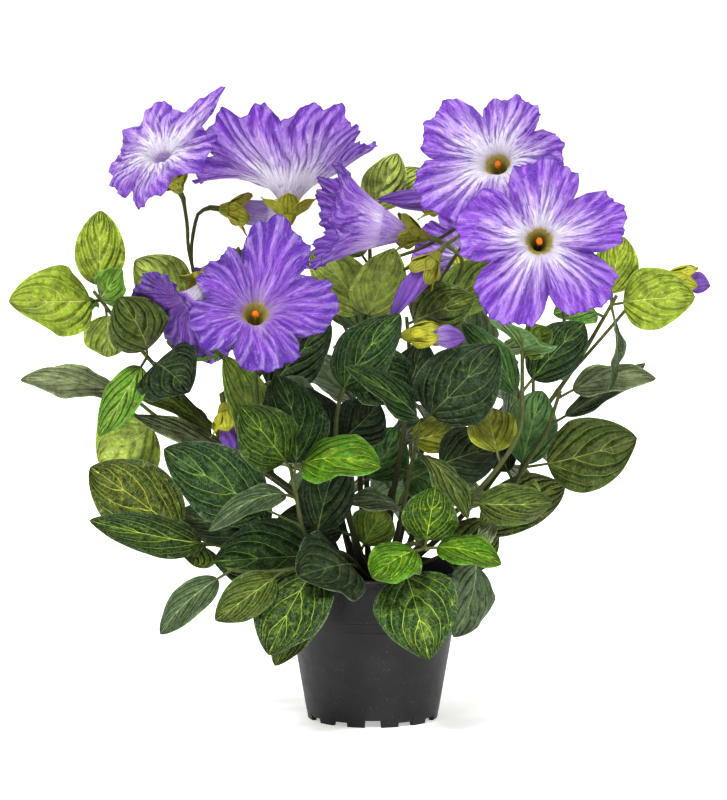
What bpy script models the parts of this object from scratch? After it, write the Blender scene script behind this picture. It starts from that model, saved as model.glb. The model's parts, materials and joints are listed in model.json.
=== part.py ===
# Potted petunia: big violet trumpet flowers on wiry leafy sprays, in a black nursery pot.
# Sizes below are millimetres. The model is in metres, +Z up, with its origin under the pot's centre.
import math
import random

import bmesh
import bpy
from mathutils import Matrix, Vector
from mathutils.bvhtree import BVHTree

MM = 0.001
SAME_PLACE = 0.00001  # metres: points nearer than this are one point
NO_LENGTH = 1e-9
GAP = 0.3  # clearance between pieces that touch each other

# Nursery pot
POT_HEIGHT = 98.0
RIM_RADIUS = 60.5
RIM_EDGE = 1.2
RIM_BEAD_HEIGHT = 3.6
COLLAR_RADII = (58.6, 57.2)  # under the rim bead, and at its foot
COLLAR_BOTTOM = 70.0
SHOULDER_RADII = (55.4, 55.0)
SHOULDER_BOTTOM = 64.0
BODY_RADII = (53.4, 42.6)
STEP_SLOPE = 0.8
POT_WALL = 1.6
FLOOR_HEIGHT = 6.0
FOOT_WALL = 3.0
POT_SIDES = 32
FOOT_NOTCHES = 12
DRAIN_EVERY = 3  # each third notch is a taller one, for the drain
NOTCH_WIDTH = 10.6
DRAIN_NOTCH_HEIGHT = 4.6
NOTCH_HEIGHT = 2.8

# Soil
SOIL_TOP = 89.0
SOIL_BUMP = 1.5
SOIL_RINGS = (1.0, 0.55)
ROOT_DEPTH = 24.0
ROOT_STRAIGHT = 5.0  # how far a stem stands straight above the soil's level
HOLE_SIDES = 6
SOIL_SIDES = 24

# Stems and leaves
SPRAY_RADII = (2.1, 1.2)  # at the soil and at the tip
SPRAY_STEPS = 6
PEDICEL_RADIUS = 1.2
PEDICEL_STEPS = 3
PEDICEL_START = 4.0  # a flower's stem leaves its spray square on for this far
PEDICEL_RUN_IN = 6.0  # and comes straight into the cup for this far
PEDICEL_SINK = 1.0
LOOK_ALONG = 0.03  # the share of a stem over which its direction is taken
CURVE_FINENESS = 12
STALK_HALF_WIDTH = 0.9
STALK_SHARE = 0.16  # the leaf stalk's share of the way from stem to leaf tip
STALK_JOIN = 0.97  # no stalk joins further along a stem than this
LEAF_THICKNESS = 0.9
LEAF_ROWS = (0.14, 0.45, 0.78)
LEAF_OUTLINE = (2.42, 0.55, 0.75)  # width factor, and the powers that round its foot and its tip
LEAF_FOLD = 0.16
LEAF_WAVE = 0.10
LEAF_RIPPLES = (9.0, 1.3)  # radians along a leaf, and from its midrib to its edge
LEAF_SWAY = 0.05

# How the leaves of one spray differ: each number is the step, in radians, from leaf to leaf.
FOLD_CHANGE = 0.8
FOLD_STEP = 2.3
RIPPLE_STEP = 1.7
SWAY_STEP = 4.1

# Growing clear: the ways in which a leaf may turn aside, in millimetres along its sight line, degrees
# about its length, and size. A change counts by its steps of these.
LEAF_CLEARANCE = 0.8  # kept free on both sides of every blade as it grows
LEAF_SHIFTS = (0, -6, 6, -12, 12, -19, 19, -27, 27)
LEAF_ROLLS = (0, 14, -14, 30, -30)
LEAF_SIZES = (1.0, 0.86, 0.72)
SHIFT_STEP = 6.0
ROLL_STEP = 14.0
SIZE_STEP = 1 / 30

# Flowers
PETAL_THICKNESS = 0.8
TUBE_FOOT = 2.3  # the tube's inside radius at the cup
TUBE_LIFT = 0.4  # more room between the cup and the tube, for the outer side of a wide tube's foot
LIMB_ROWS = (0.5, 1.0)
LOBE_COUNT = 5
LOBE_STOPS = (-0.5, -0.34, 0.0, 0.34)  # across a lobe, from notch to notch
NOTCH_SHARPNESS = 5.0
RUFFLES = 2  # waves of the edge in each lobe
STRAIGHT = 0.01  # radians: a lobe that bends less than this counts as bent by this
CUP_LENGTH = 6.0
CUP_RADII = (2.0, 5.3)
SEPAL_COUNT = 5
SEPAL_LENGTH = 18.0
SEPAL_HALF_WIDTH = 5.6
SEPAL_CLOSENESS = 0.88  # the share of the room beside its neighbours that a sepal may take
SEPAL_CURL = 2.0
SEPAL_THICKNESS = 0.9
PISTIL_RADIUS = 0.8
ANTHER_RADII = (2.2, 2.8)
PISTIL_SHARE = 0.86  # of the tube's length
BUD_ROWS = ((0.0, 2.2), (0.30, 4.2), (0.68, 7.0), (0.90, 4.2))
LONG_BUD_ROWS = ((0.0, 2.2), (0.26, 7.0), (0.58, 5.8), (0.86, 2.6))
BUD_RIDGE = 0.13
BUD_TWIST = 1.1
BUD_SIDES = 10
BUD_SAG = 0.10  # of its length
NEARLY_UPRIGHT = 0.9

# Places are given on the upright plane through the pot's axis, as seen from this eye point, and each
# one then moves along its sight line to its own depth. Depth is negative towards the eye.
EYE = Vector((-6.0, -2200.0, 428.0))

FACES = {
    "front": Vector((0.0, -1.0, 0.3)),
    "up_front": Vector((0.0, -0.8, 0.8)),
    "right": Vector((0.8, -0.8, 0.3)),
    "left_up": Vector((-0.6, -0.6, 0.8)),
    "edge": Vector((1.0, -0.25, 0.2)),
}

# The sprays at the front. Each has the place of its root in the soil (x, y), the points
# that its stem passes (x, z, depth), and its leaves. A leaf is a row of: how far along the stem it
# grows, its tip (x, z, depth), its width, the way its upper side looks, its arch, and its stalk's
# share where that isn't the usual one.
SPRAYS = {
    "spray_left_top": {
        "root": (-17, 3),
        "path": [(-40, 138, 8), (-95, 182, 12), (-148, 238, 0), (-181, 279, -6)],
        "leaves": [
            (1.0, -176, 331, 0, 33, "front", 0.10),
            (1.0, -236, 272, -55, 46, "front", 0.10),
            (1.0, -162, 293, -36, 24, "front", 0.15),
            (1.0, -196, 262, -38, 15, "up_front", 0.10),
            (0.95, -172, 236, 6, 32, "front", 0.12),
            (0.78, -165, 275, -32, 40, "front", 0.12),
            (0.76, -119, 213, -28, 48, "front", 0.15),
            (0.78, -178, 184, -38, 25, "front", 0.12),
        ],
    },
    "spray_left_middle": {
        "root": (-16, 9),
        "path": [(-45, 140, 18), (-90, 172, 24), (-130, 190, 24), (-160, 213, 18)],
        "leaves": [
            (1.0, -229, 221, 6, 27, "up_front", 0.08),
            (0.85, -178, 166, 14, 50, "front", 0.12),
            (0.62, -158, 214, -6, 20, "up_front", 0.12),
            (0.44, -97, 237, -4, 36, "front", 0.10),
            (0.52, -156, 198, -12, 18, "up_front", 0.10),
        ],
    },
    "spray_left_low": {
        "root": (-16, -5),
        "path": [(-45, 120, -15), (-85, 114, -35), (-118, 113, -46)],
        "leaves": [
            (1.0, -184, 164, -30, 50, "front", 0.10),
            (0.86, -185, 129, -84, 27, "front", 0.12),
            (0.92, -117, 99, -60, 30, "front", 0.10),
            (0.50, -104, 158, -20, 30, "front", 0.10),
        ],
    },
    "spray_front_left": {
        "root": (-10, -13),
        "path": [(-28, 106, -35), (-44, 120, -55), (-50, 146, -62), (-54, 166, -62)],
        "leaves": [
            (1.0, -86, 204, -88, 40, "front", 0.12),
            (0.62, -136, 176, -80, 48, "front", 0.12, 0.30),
            (0.80, -107, 122, -104, 18, "up_front", 0.20),
            (0.30, -104, 102, -88, 52, "front", 0.12),
            (1.0, 5, 164, -100, 42, "up_front", 0.10),
            (0.90, -62, 224, -58, 44, "front", 0.18),
            (0.45, -20, 176, -46, 36, "front", 0.12),
        ],
    },
    "spray_front_low": {
        "root": (-4, -18),
        "path": [(-22, 108, -45), (-46, 98, -74), (-75, 95, -80), (-95, 97, -74)],
        "leaves": [
            (0.45, -68, 40, -104, 50, "front", 0.10),
            (0.50, -64, 33, -84, 30, "front", 0.10),
            (1.0, -139, 54, -62, 22, "front", 0.10),
            (0.70, -103, 63, -86, 28, "front", 0.10),
            (0.12, -49, 92, -98, 52, "front", 0.12, 0.30),
        ],
    },
    "spray_front_right": {
        "root": (5, -18),
        "path": [(18, 110, -42), (30, 114, -66), (35, 110, -78)],
        "leaves": [
            (1.0, 41, 151, -84, 36, "front", 0.12),
            (1.0, 84, 100, -96, 26, "up_front", 0.08),
            (1.0, 0, 91, -106, 34, "up_front", 0.05),
            (0.38, 37, 37, -96, 54, "front", 0.20, 0.34),
        ],
    },
    "spray_right_low": {
        "root": (16, -9),
        "path": [(50, 108, -22), (84, 132, -26), (94, 156, -24), (112, 186, -20), (122, 214, -16)],
        "leaves": [
            (0.33, 53, 52, -62, 38, "right", 0.15, 0.30),
            (0.30, 125, 152, 16, 36, "front", 0.10),
            (0.68, 172, 183, -44, 48, "front", 0.10, 0.22),
            (0.58, 106, 138, -42, 26, "front", 0.10),
            (0.97, 184, 222, -14, 25, "up_front", 0.12),
            (0.86, 177, 232, 12, 16, "up_front", 0.05),
            (0.60, 72, 198, 26, 28, "front", 0.10),
            (0.44, 70, 111, -50, 12, "up_front", 0.10),
        ],
    },
    "spray_right_top": {
        "root": (17, 4),
        "path": [(62, 136, 14), (104, 192, 16), (130, 228, 8), (150, 262, 0), (158, 276, -4)],
        "leaves": [
            (1.0, 209, 275, -22, 42, "front", 0.10),
            (1.0, 162, 314, 8, 30, "front", 0.10),
            (0.93, 117, 264, -20, 26, "up_front", 0.10),
            (0.97, 152, 213, -14, 18, "edge", 0.08),
        ],
    },
    "spray_right_centre": {
        "root": (12, -14),
        "path": [(40, 122, -38), (72, 152, -50), (95, 186, -54), (97, 214, -58), (97, 240, -58)],
        "leaves": [
            (1.0, 85, 258, -110, 50, "up_front", 0.12),
            (1.0, 116, 254, -84, 26, "up_front", 0.08),
            (0.80, 58, 258, -40, 24, "up_front", 0.10),
            (0.86, 137, 258, -36, 34, "front", 0.10),
            (0.60, 76, 203, -20, 32, "front", 0.10),
            (0.42, 117, 141, -60, 28, "front", 0.10),
        ],
    },
    "spray_centre": {
        "root": (-3, -9),
        "path": [(-18, 140, -30), (-24, 190, -36), (-14, 238, -38)],
        "leaves": [
            (1.0, 24, 208, -54, 44, "front", 0.12),
            (0.80, 18, 264, -58, 38, "front", 0.10),
            (0.62, 4, 206, -14, 36, "front", 0.10),
            (0.35, -40, 142, -50, 26, "up_front", 0.10),
            (0.50, -43, 216, -20, 32, "front", 0.10),
        ],
    },
    "spray_centre_top": {
        "root": (-1, 9),
        "path": [(-8, 150, 22), (-8, 220, 30), (-2, 285, 26), (-3, 333, 24)],
        "leaves": [
            (1.0, 16, 368, 16, 30, "front", 0.10),
            (1.0, 32, 358, 34, 20, "front", 0.10),
            (0.68, -40, 305, 4, 36, "front", 0.10),
            (0.68, 14, 307, -4, 38, "front", 0.10),
            (0.84, -30, 342, 20, 26, "front", 0.10),
        ],
    },
    "spray_right_middle": {
        "root": (6, -6),
        "path": [(16, 120, -14), (24, 160, -22), (32, 196, -30)],
        "leaves": [
            (1.0, 81, 244, -66, 52, "front", 0.12),
            (1.0, -18, 230, -76, 24, "up_front", 0.12),
            (0.80, 62, 130, -62, 28, "right", 0.14),
            (0.62, 82, 178, -6, 38, "front", 0.10, 0.35),
            (0.42, -18, 140, -60, 20, "up_front", 0.15),
        ],
    },
    "spray_centre_right": {
        "root": (8, 3),
        "path": [(14, 150, 12), (24, 215, 6), (22, 262, -12)],
        "leaves": [
            (1.0, 66, 275, -64, 42, "front", 0.10),
            (0.90, 84, 296, 22, 34, "front", 0.10, 0.35),
            (0.50, 56, 190, 34, 26, "front", 0.10),
            (0.40, 44, 150, 20, 30, "front", 0.10),
        ],
    },
    "spray_left_back": {
        "root": (-9, 2),
        "path": [(-30, 150, 20), (-70, 205, 30), (-105, 245, 28), (-118, 272, 22)],
        "leaves": [
            (1.0, -154, 299, 20, 38, "front", 0.10),
            (0.80, -128, 238, 2, 18, "up_front", 0.10),
            (0.95, -92, 300, 34, 30, "front", 0.10),
            (0.62, -27, 258, 20, 38, "front", 0.10),
        ],
    },
}

# Leaves deep inside the plant, which grow after all the others. Each row is as in the sprays.
INNER_LEAVES = {
    "spray_left_low": [(0.50, -128, 134, -14, 30, "front", 0.10)],
    "spray_centre": [(0.20, -64, 128, -14, 32, "front", 0.10), (0.12, 8, 136, -2, 30, "front", 0.10)],
    "spray_centre_top": [(0.24, 16, 190, 18, 36, "front", 0.10)],
    "spray_right_low": [
        (0.14, 82, 124, 8, 36, "front", 0.10), (0.62, 110, 214, 8, 34, "front", 0.10),
    ],
    "spray_centre_right": [(0.62, 34, 246, 4, 32, "front", 0.10)],
}

# The sprays at the back: the way each leans (degrees, 0 to the right and 90 straight back), its
# reach and height, and its root in the soil (x, y).
BACK_SPRAYS = {
    "spray_back_1": (22, 150, 175, (17, 10)),
    "spray_back_2": (48, 165, 235, (13, 16)),
    "spray_back_3": (72, 135, 150, (5, 19)),
    "spray_back_4": (95, 150, 265, (-3, 15)),
    "spray_back_5": (118, 150, 165, (-8, 20)),
    "spray_back_6": (142, 155, 245, (-12, 13)),
}
# Its leaves: how far along the stem, length, width, and the turn about the stem in degrees.
BACK_LEAVES = (
    (0.36, 58, 40, 20), (0.52, 62, 40, 180),
    (0.78, 58, 40, 80), (0.80, 58, 40, 250),
    (0.96, 50, 34, 10), (0.97, 56, 38, 165),
)
BACK_TIP_LENGTH = 40.0
BACK_KNEE_RISE = 22.0
BACK_KNEE_SET = 14.0
BACK_ONWARD = 0.75
BACK_DROOP = 0.15
BACK_TURN_SPREAD = 15
BACK_LENGTH_SPREAD = (0.92, 1.08)
BACK_ARCH = (0.06, 0.16)
BACK_LOOKS = (0.7, 0.8)  # outwards and upwards
BACK_SEED = 7

# Open flowers: where the mouth of the tube is (x, z, depth), the way the flower looks, its tube's
# length, the angle of its spread lobes (0 lies flat), how deep its notches are and how pointed its
# lobes, and its five lobes, clockwise as one looks into it: the angle from the top in degrees, the
# reach from the axis, how far the lobe bends on (radians, backwards below 0), and how pointed it is
# where that isn't as in the others. Where they aren't the usual ones, also the spread of its sepals,
# the tube's radius at the throat and how fast it gets there. Its own stem leaves the spray named as
# its host and passes the places in "via".
BLOOMS = {
    "bloom_1": {
        "mouth": (-137, 368, -14), "looks": (-0.33, -0.58, 0.75), "tube": 28, "flare": 0.15,
        "notch": 0.34, "point": 0.15, "spread": 0.5, "throat": 4.5,
        "lobes": ((48, 62, 0.6, 1.3), (98, 46, 0.0), (180, 38, -0.9), (246, 43, -1.0), (300, 44, -0.1)),
        "host": "spray_left_back", "at": 0.90, "via": [(-118, 300, 6), (-120, 322, 2)],
    },
    "bloom_2": {
        "mouth": (-54, 347, 4), "looks": (0.02, 0.30, 0.95), "tube": 20, "flare": 0.5,
        "notch": 0.22, "point": 0.12, "spread": 0.85, "throat": 12.0,
        "lobes": ((-8, 76, 1.0), (76, 68, 0.25), (146, 70, 0.5), (228, 70, 0.15), (276, 64, -1.0)),
        "host": "spray_centre_top", "at": 0.62, "via": [(-38, 290, 12)],
    },
    "bloom_3": {
        "mouth": (-64, 328, 44), "looks": (0.98, 0.05, -0.12), "tube": 30, "flare": 0.9,
        "notch": 0.3, "point": 0.1, "spread": 0.55, "throat": 9.0, "swell": 0.2,
        "rows": (0.0, 0.3, 1.0),
        "lobes": ((0, 24, -0.3), (72, 24, -0.3), (144, 27, -0.3), (216, 27, -0.3), (288, 24, -0.3)),
        "host": "spray_left_back", "at": 0.80, "via": [(-116, 290, 34), (-114, 326, 42)],
    },
    "bloom_4": {
        "mouth": (-76, 266, -100), "looks": (0.05, -0.83, 0.55), "tube": 28, "flare": 0.1,
        "notch": 0.36, "point": 0.10,
        "lobes": ((15, 64, 0.2), (86, 51, -0.1), (165, 43, -0.2), (254, 43, -0.2), (320, 45, 0.0)),
        "host": "spray_left_middle", "at": 0.42, "via": [(-74, 200, -24)],
    },
    "bloom_5": {
        "mouth": (-122, 270, -34), "looks": (-0.66, -0.45, -0.60), "tube": 26, "flare": 0.3,
        "notch": 0.28, "point": 0.15,
        "lobes": ((0, 34, -0.2), (66, 30, 0.1), (140, 44, -0.3), (205, 46, -0.3), (285, 40, 0.2)),
        "host": "spray_left_back", "at": 0.68, "via": [(-88, 272, 6), (-86, 306, -10)],
    },
    "bloom_6": {
        "mouth": (0, 321, -34), "looks": (-0.93, -0.10, 0.20), "tube": 30, "flare": 1.15,
        "notch": 0.14, "point": 0.08, "spread": 0.5, "throat": 15.0,
        "lobes": ((0, 54, -0.3), (66, 56, -0.5), (150, 58, -0.3), (215, 56, 0.0), (288, 56, -0.2)),
        "host": "spray_centre_right", "at": 0.88, "via": [(46, 272, -22), (58, 298, -34)],
    },
    "bloom_7": {
        "mouth": (80, 363, -34), "looks": (-0.20, -0.78, 0.58), "tube": 28, "flare": 0.15,
        "notch": 0.32, "point": 0.10,
        "lobes": ((16, 47, 0.1), (80, 44, 0.0), (150, 36, -0.9), (234, 56, -0.2), (300, 54, 0.1)),
        "host": "spray_right_top", "at": 0.60, "via": [(102, 280, 12)],
    },
    "bloom_8": {
        "mouth": (108, 312, -130), "looks": (0.0, -0.97, 0.24), "tube": 28, "flare": 0.12,
        "notch": 0.38, "point": 0.04,
        "lobes": ((8, 50, -0.1), (72, 54, -0.2), (134, 55, -0.2), (208, 56, -0.2), (282, 51, -0.1)),
        "host": "spray_right_top", "at": 0.72, "via": [(124, 262, -30), (116, 288, -76)],
    },
    "bloom_9": {
        "mouth": (68, 300, 122), "looks": (0.30, 0.85, 0.30), "tube": 28, "flare": 0.12,
        "notch": 0.28, "point": 0.1,
        "lobes": ((10, 50, 0.1), (84, 48, -0.2), (158, 50, -0.2), (226, 46, -0.2), (296, 50, 0.0)),
        "host": "spray_back_2", "at": 0.80, "via": [(66, 262, 82)],
    },
    "bloom_10": {
        "mouth": (-84, 268, 118), "looks": (-0.30, 0.82, 0.40), "tube": 28, "flare": 0.15,
        "notch": 0.28, "point": 0.1,
        "lobes": ((-12, 47, 0.1), (66, 50, -0.2), (140, 46, -0.3), (210, 49, 0.0), (280, 47, 0.1)),
        "host": "spray_back_6", "at": 0.75, "via": [(-76, 232, 82)],
    },
}
NO_PISTIL = ("bloom_1", "bloom_3", "bloom_5")  # too narrow or too closed to show one

# Closed buds: the foot of the cup instead of the mouth, the length out of the cup, and the radii
# along it where they aren't the usual ones.
BUDS = {
    "bud_1": {
        "foot": (43, 304, -56), "looks": (-0.62, -0.20, -0.74), "length": 46, "spread": 0.5,
        "shape": LONG_BUD_ROWS,
        "host": "spray_centre_right", "at": 0.93, "via": [(46, 290, 6), (64, 318, -22)],
    },
    "bud_2": {
        "foot": (19, 250, -60), "looks": (0.98, -0.15, 0.05), "length": 34, "spread": 0.34,
        "host": "spray_centre", "at": 0.90, "via": [(0, 248, -54)],
    },
    "bud_3": {
        "foot": (187, 288, 62), "looks": (0.97, 0.10, -0.10), "length": 27, "spread": 0.30,
        "host": "spray_right_top", "at": 0.75, "via": [(160, 262, 36)],
    },
    "bud_4": {
        "foot": (-97, 206, -4), "looks": (0.20, -0.30, -0.93), "length": 26, "spread": 0.40,
        "host": "spray_left_middle", "at": 0.56, "via": [(-86, 200, 16), (-92, 214, 4)],
    },
    "bud_5": {
        "foot": (52, 335, 12), "looks": (-0.97, -0.10, 0.16), "length": 44, "spread": 0.5,
        "shape": LONG_BUD_ROWS,
        "host": "spray_centre_top", "at": 0.85, "via": [(34, 308, 26), (62, 326, 16)],
    },
}
USUAL_FLOWER = {"spread": 0.62, "ruffle": 2.0, "throat": 7.0, "swell": 1.2, "rows": (0.0, 1.0),
                "shape": BUD_ROWS}

# Colours (red, green, blue) and roughness, and the pieces that have them.
MATERIALS = {
    "pot": (0.042, 0.040, 0.044, 0.55),
    "soil": (0.030, 0.022, 0.016, 0.95),
    "leaf_dark": (0.020, 0.085, 0.030, 0.55),
    "leaf_green": (0.060, 0.190, 0.030, 0.55),
    "leaf_light": (0.270, 0.480, 0.050, 0.55),
    "petal": (0.240, 0.110, 0.640, 0.60),
    "calyx": (0.380, 0.430, 0.050, 0.60),
    "pistil": (0.800, 0.230, 0.020, 0.60),
}
LIGHT_SPRAYS = ("spray_left_top", "spray_right_centre", "spray_centre_right", "spray_centre_top",
                "spray_front_right")
GREEN_SPRAYS = ("spray_left_back", "spray_left_middle", "spray_right_low", "spray_right_top",
                "spray_back_1", "spray_back_3", "spray_back_6")
SOIL_SEED = 3


# Lines and places

def on_sight(place):
    # A place (x, z, depth) read on the upright plane, moved along its sight line to its depth.
    x, z, depth = place
    flat = Vector((x, 0.0, z))
    return EYE + (flat - EYE) * ((depth - EYE.y) / -EYE.y)


def along_line(points, share):
    # The point that lies this share of the way along a line of points.
    lengths = [(b - a).length for a, b in zip(points, points[1:])]
    left = share * sum(lengths)
    for a, b, length in zip(points, points[1:], lengths):
        if left <= length:
            return a.lerp(b, left / max(length, NO_LENGTH))
        left -= length
    return points[-1].copy()


def direction_along(points, share):
    ahead = along_line(points, min(1.0, share + LOOK_ALONG))
    return (ahead - along_line(points, share - LOOK_ALONG)).normalized()


def smooth_line(points, steps):
    # Points at even distances along a smooth curve through the given ones.
    ends = [points[0] * 2 - points[1]] + list(points) + [points[-1] * 2 - points[-2]]
    fine = []
    for a, b, c, d in zip(ends, ends[1:], ends[2:], ends[3:]):
        for k in range(CURVE_FINENESS):
            t = k / CURVE_FINENESS
            straight = 2 * b + (c - a) * t
            bent = (2 * a - 5 * b + 4 * c - d) * t * t + (3 * b - a - 3 * c + d) * t ** 3
            fine.append((straight + bent) * 0.5)
    fine.append(points[-1])
    return [along_line(fine, k / steps) for k in range(steps + 1)]


def square_to(axis, wanted):
    # The direction nearest to the wanted one that stands square on the axis.
    return (wanted - axis * wanted.dot(axis)).normalized()


def spray_line(root, path):
    x, y = root
    above = Vector((x, y, SOIL_TOP + ROOT_STRAIGHT))
    line = smooth_line([above] + [on_sight(place) for place in path], SPRAY_STEPS)
    return [Vector((x, y, SOIL_TOP - ROOT_DEPTH))] + line


def spray_radius(share):
    thick, thin = SPRAY_RADII
    return thick + (thin - thick) * share


# Meshes

def new_object(name, points, faces, collection):
    mesh = bpy.data.meshes.new(name)
    mesh.from_pydata([tuple(point * MM) for point in points], [], faces)
    shell = bmesh.new()
    shell.from_mesh(mesh)
    bmesh.ops.remove_doubles(shell, verts=shell.verts, dist=SAME_PLACE)
    bmesh.ops.recalc_face_normals(shell, faces=shell.faces)
    shell.to_mesh(mesh)
    shell.free()
    item = bpy.data.objects.new(name, mesh)
    collection.objects.link(item)
    return item


def point_outwards(item):
    # Turns all faces over if the first ones, on a flower's tube, look at its axis.
    mesh = item.data
    middle = sum((corner.co for corner in mesh.vertices[:len(LOBE_STOPS) * LOBE_COUNT]), Vector())
    middle /= len(LOBE_STOPS) * LOBE_COUNT
    first = mesh.polygons[0]
    if (first.center - middle).dot(first.normal) < 0:
        mesh.flip_normals()


def finished_mesh(item):
    bpy.context.view_layer.update()
    graph = bpy.context.evaluated_depsgraph_get()
    return bpy.data.meshes.new_from_object(item.evaluated_get(graph))


def tube(name, points, radii, collection):
    curve = bpy.data.curves.new(name, "CURVE")
    curve.dimensions = "3D"
    curve.bevel_depth = MM
    curve.bevel_resolution = 0
    curve.use_fill_caps = True
    spline = curve.splines.new("POLY")
    spline.points.add(len(points) - 1)
    for knot, point, radius in zip(spline.points, points, radii):
        knot.co = (*(point * MM), 1.0)
        knot.radius = radius
    drawn = bpy.data.objects.new(name, curve)
    collection.objects.link(drawn)
    mesh = finished_mesh(drawn)
    bpy.data.objects.remove(drawn)
    points = [corner.co / MM for corner in mesh.vertices]
    faces = [tuple(face.vertices) for face in mesh.polygons]
    return new_object(name, points, faces, collection)


def fuse(name, first, others, collection):
    # One body from the first piece and the others sunk into it.
    parts = bpy.data.collections.new(name + "_parts")
    collection.children.link(parts)
    for item in others:
        for home in list(item.users_collection):
            home.objects.unlink(item)
        parts.objects.link(item)
    union = first.modifiers.new("fuse", "BOOLEAN")
    union.operation = "UNION"
    union.operand_type = "COLLECTION"
    union.collection = parts
    union.solver = "MANIFOLD"
    mesh = finished_mesh(first)
    first.modifiers.clear()
    first.data = mesh
    first.name = name
    for item in list(parts.objects):
        bpy.data.objects.remove(item)
    bpy.data.collections.remove(parts)
    return first


def strip(low, high):
    # Triangles between two rows of points that may differ in number.
    faces = []
    i = 0
    j = 0
    while i < len(low) - 1 or j < len(high) - 1:
        if (i + 1) * (len(high) - 1) <= (j + 1) * (len(low) - 1):
            faces.append((low[i], low[i + 1], high[j]))
            i += 1
        else:
            faces.append((low[i], high[j + 1], high[j]))
            j += 1
    return faces


def blade(point_at, facing_at, rows, thickness):
    # A closed blade from rows of (how far along, the columns there). Its last row is the tip.
    # Both sides are split along the same diagonals.
    points = []
    faces = []
    before = None
    for t, columns in rows:
        half = facing_at(t) * (thickness / 2)
        middle = [point_at(t, v) for v in columns]
        top = list(range(len(points), len(points) + len(columns)))
        bottom = [index + len(columns) for index in top]
        points += [point + half for point in middle] + [point - half for point in middle]
        if before is None:
            faces += strip(top, bottom)
        else:
            faces += strip(before[0], top)
            faces += [face[::-1] for face in strip(before[1], bottom)]
            for k in (0, -1):
                faces.append((before[0][k], top[k], bottom[k]))
                faces.append((before[0][k], bottom[k], before[1][k]))
        before = (top, bottom)
    return points, faces


# Leaves

def blade_width(share):
    factor, foot, tip = LEAF_OUTLINE
    return factor * share ** foot * (1.0 - share) ** tip


def leaf_shape(leaf, shift, roll, size):
    # A leaf as it grows: its tip moved along the sight line, turned about its length, and scaled.
    tip = leaf["tip"] + (leaf["tip"] - EYE).normalized() * shift
    way = (tip - leaf["start"]) * size
    along = way.normalized()
    out = square_to(along, leaf["looks"])
    out = Matrix.Rotation(math.radians(roll), 3, along) @ out
    number = leaf["number"]
    return {
        "start": leaf["start"], "along": along, "out": out, "side": along.cross(out),
        "length": way.length, "half": leaf["width"] * size / 2, "arch": leaf["arch"],
        "stalk": leaf["stalk"], "fold": LEAF_FOLD * (1 + FOLD_CHANGE * math.sin(FOLD_STEP * number)),
        "phase": RIPPLE_STEP * number, "sway": LEAF_SWAY * math.sin(SWAY_STEP * number),
        "choice": (shift, roll, size),
    }


def leaf_point(shape, t, v):
    # The point at this share of the leaf's length, and this far from its midrib (-1 to 1).
    share = (t - shape["stalk"]) / (1 - shape["stalk"])
    half = STALK_HALF_WIDTH
    if 0 < share < 1:
        half = max(half, shape["half"] * blade_width(share))
    bow = 4 * t * (1 - t)
    ripple = math.sin(LEAF_RIPPLES[0] * t + shape["phase"] + LEAF_RIPPLES[1] * v)
    rise = shape["arch"] * shape["length"] * bow
    rise += half * (shape["fold"] * abs(v) + LEAF_WAVE * v * v * ripple)
    across = half * v + shape["sway"] * shape["length"] * bow
    return (shape["start"] + shape["along"] * (shape["length"] * t)
            + shape["out"] * rise + shape["side"] * across)


def leaf_facing(shape, t):
    slope = shape["arch"] * 4 * (1 - 2 * t)
    return (shape["out"] - shape["along"] * slope).normalized()


def leaf_body(shape, with_stalk, thickness):
    stalk = shape["stalk"]
    rows = [(stalk + (1 - stalk) * u, (-1.0, 0.0, 1.0)) for u in LEAF_ROWS] + [(1.0, (0.0,))]
    if with_stalk:
        rows = [(0.0, (-1.0, 1.0)), (stalk, (-1.0, 1.0))] + rows
    return blade(lambda t, v: leaf_point(shape, t, v), lambda t: leaf_facing(shape, t), rows, thickness)


# Growing clear of what is there

def body_tree(points, faces):
    return BVHTree.FromPolygons(points, faces)


def object_tree(item):
    mesh = finished_mesh(item)
    points = [corner.co / MM for corner in mesh.vertices]
    faces = [tuple(face.vertices) for face in mesh.polygons]
    bpy.data.meshes.remove(mesh)
    return body_tree(points, faces)


def leaf_choices():
    # The ways a leaf may turn aside, the smallest change first.
    def change(choice):
        shift, roll, size = choice
        return abs(shift) / SHIFT_STEP + abs(roll) / ROLL_STEP + (1 - size) / SIZE_STEP

    choices = [(shift, roll, size) for size in LEAF_SIZES for shift in LEAF_SHIFTS
               for roll in LEAF_ROLLS]
    return sorted(choices, key=change)


def grown_leaf(leaf, spray, others, own_blades, own_stem, choices):
    # The first shape that is clear of all other pieces, and if it can be of its own spray's blades.
    fallback = None
    for choice in choices:
        shape = leaf_shape(leaf, *choice)
        whole = body_tree(*leaf_body(shape, True, LEAF_THICKNESS + 2 * LEAF_CLEARANCE))
        if any(tree.overlap(whole) for owner, tree in others if owner != spray):
            continue
        wide = body_tree(*leaf_body(shape, False, LEAF_THICKNESS + LEAF_CLEARANCE))
        if not any(tree.overlap(wide) for tree in own_blades + [own_stem]):
            return shape
        fallback = fallback or shape
    return fallback


def spray_leaves(rows, line, number):
    # The leaves of these rows, numbered on from this number.
    leaves = []
    for row in rows:
        share, x, z, depth, width, looks, arch = row[:7]
        leaves.append({
            "start": along_line(line[1:], min(share, STALK_JOIN)),
            "tip": on_sight((x, z, depth)), "width": width, "looks": FACES[looks],
            "arch": arch, "stalk": row[7] if len(row) > 7 else STALK_SHARE,
            "number": number + len(leaves),
        })
    return leaves


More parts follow.
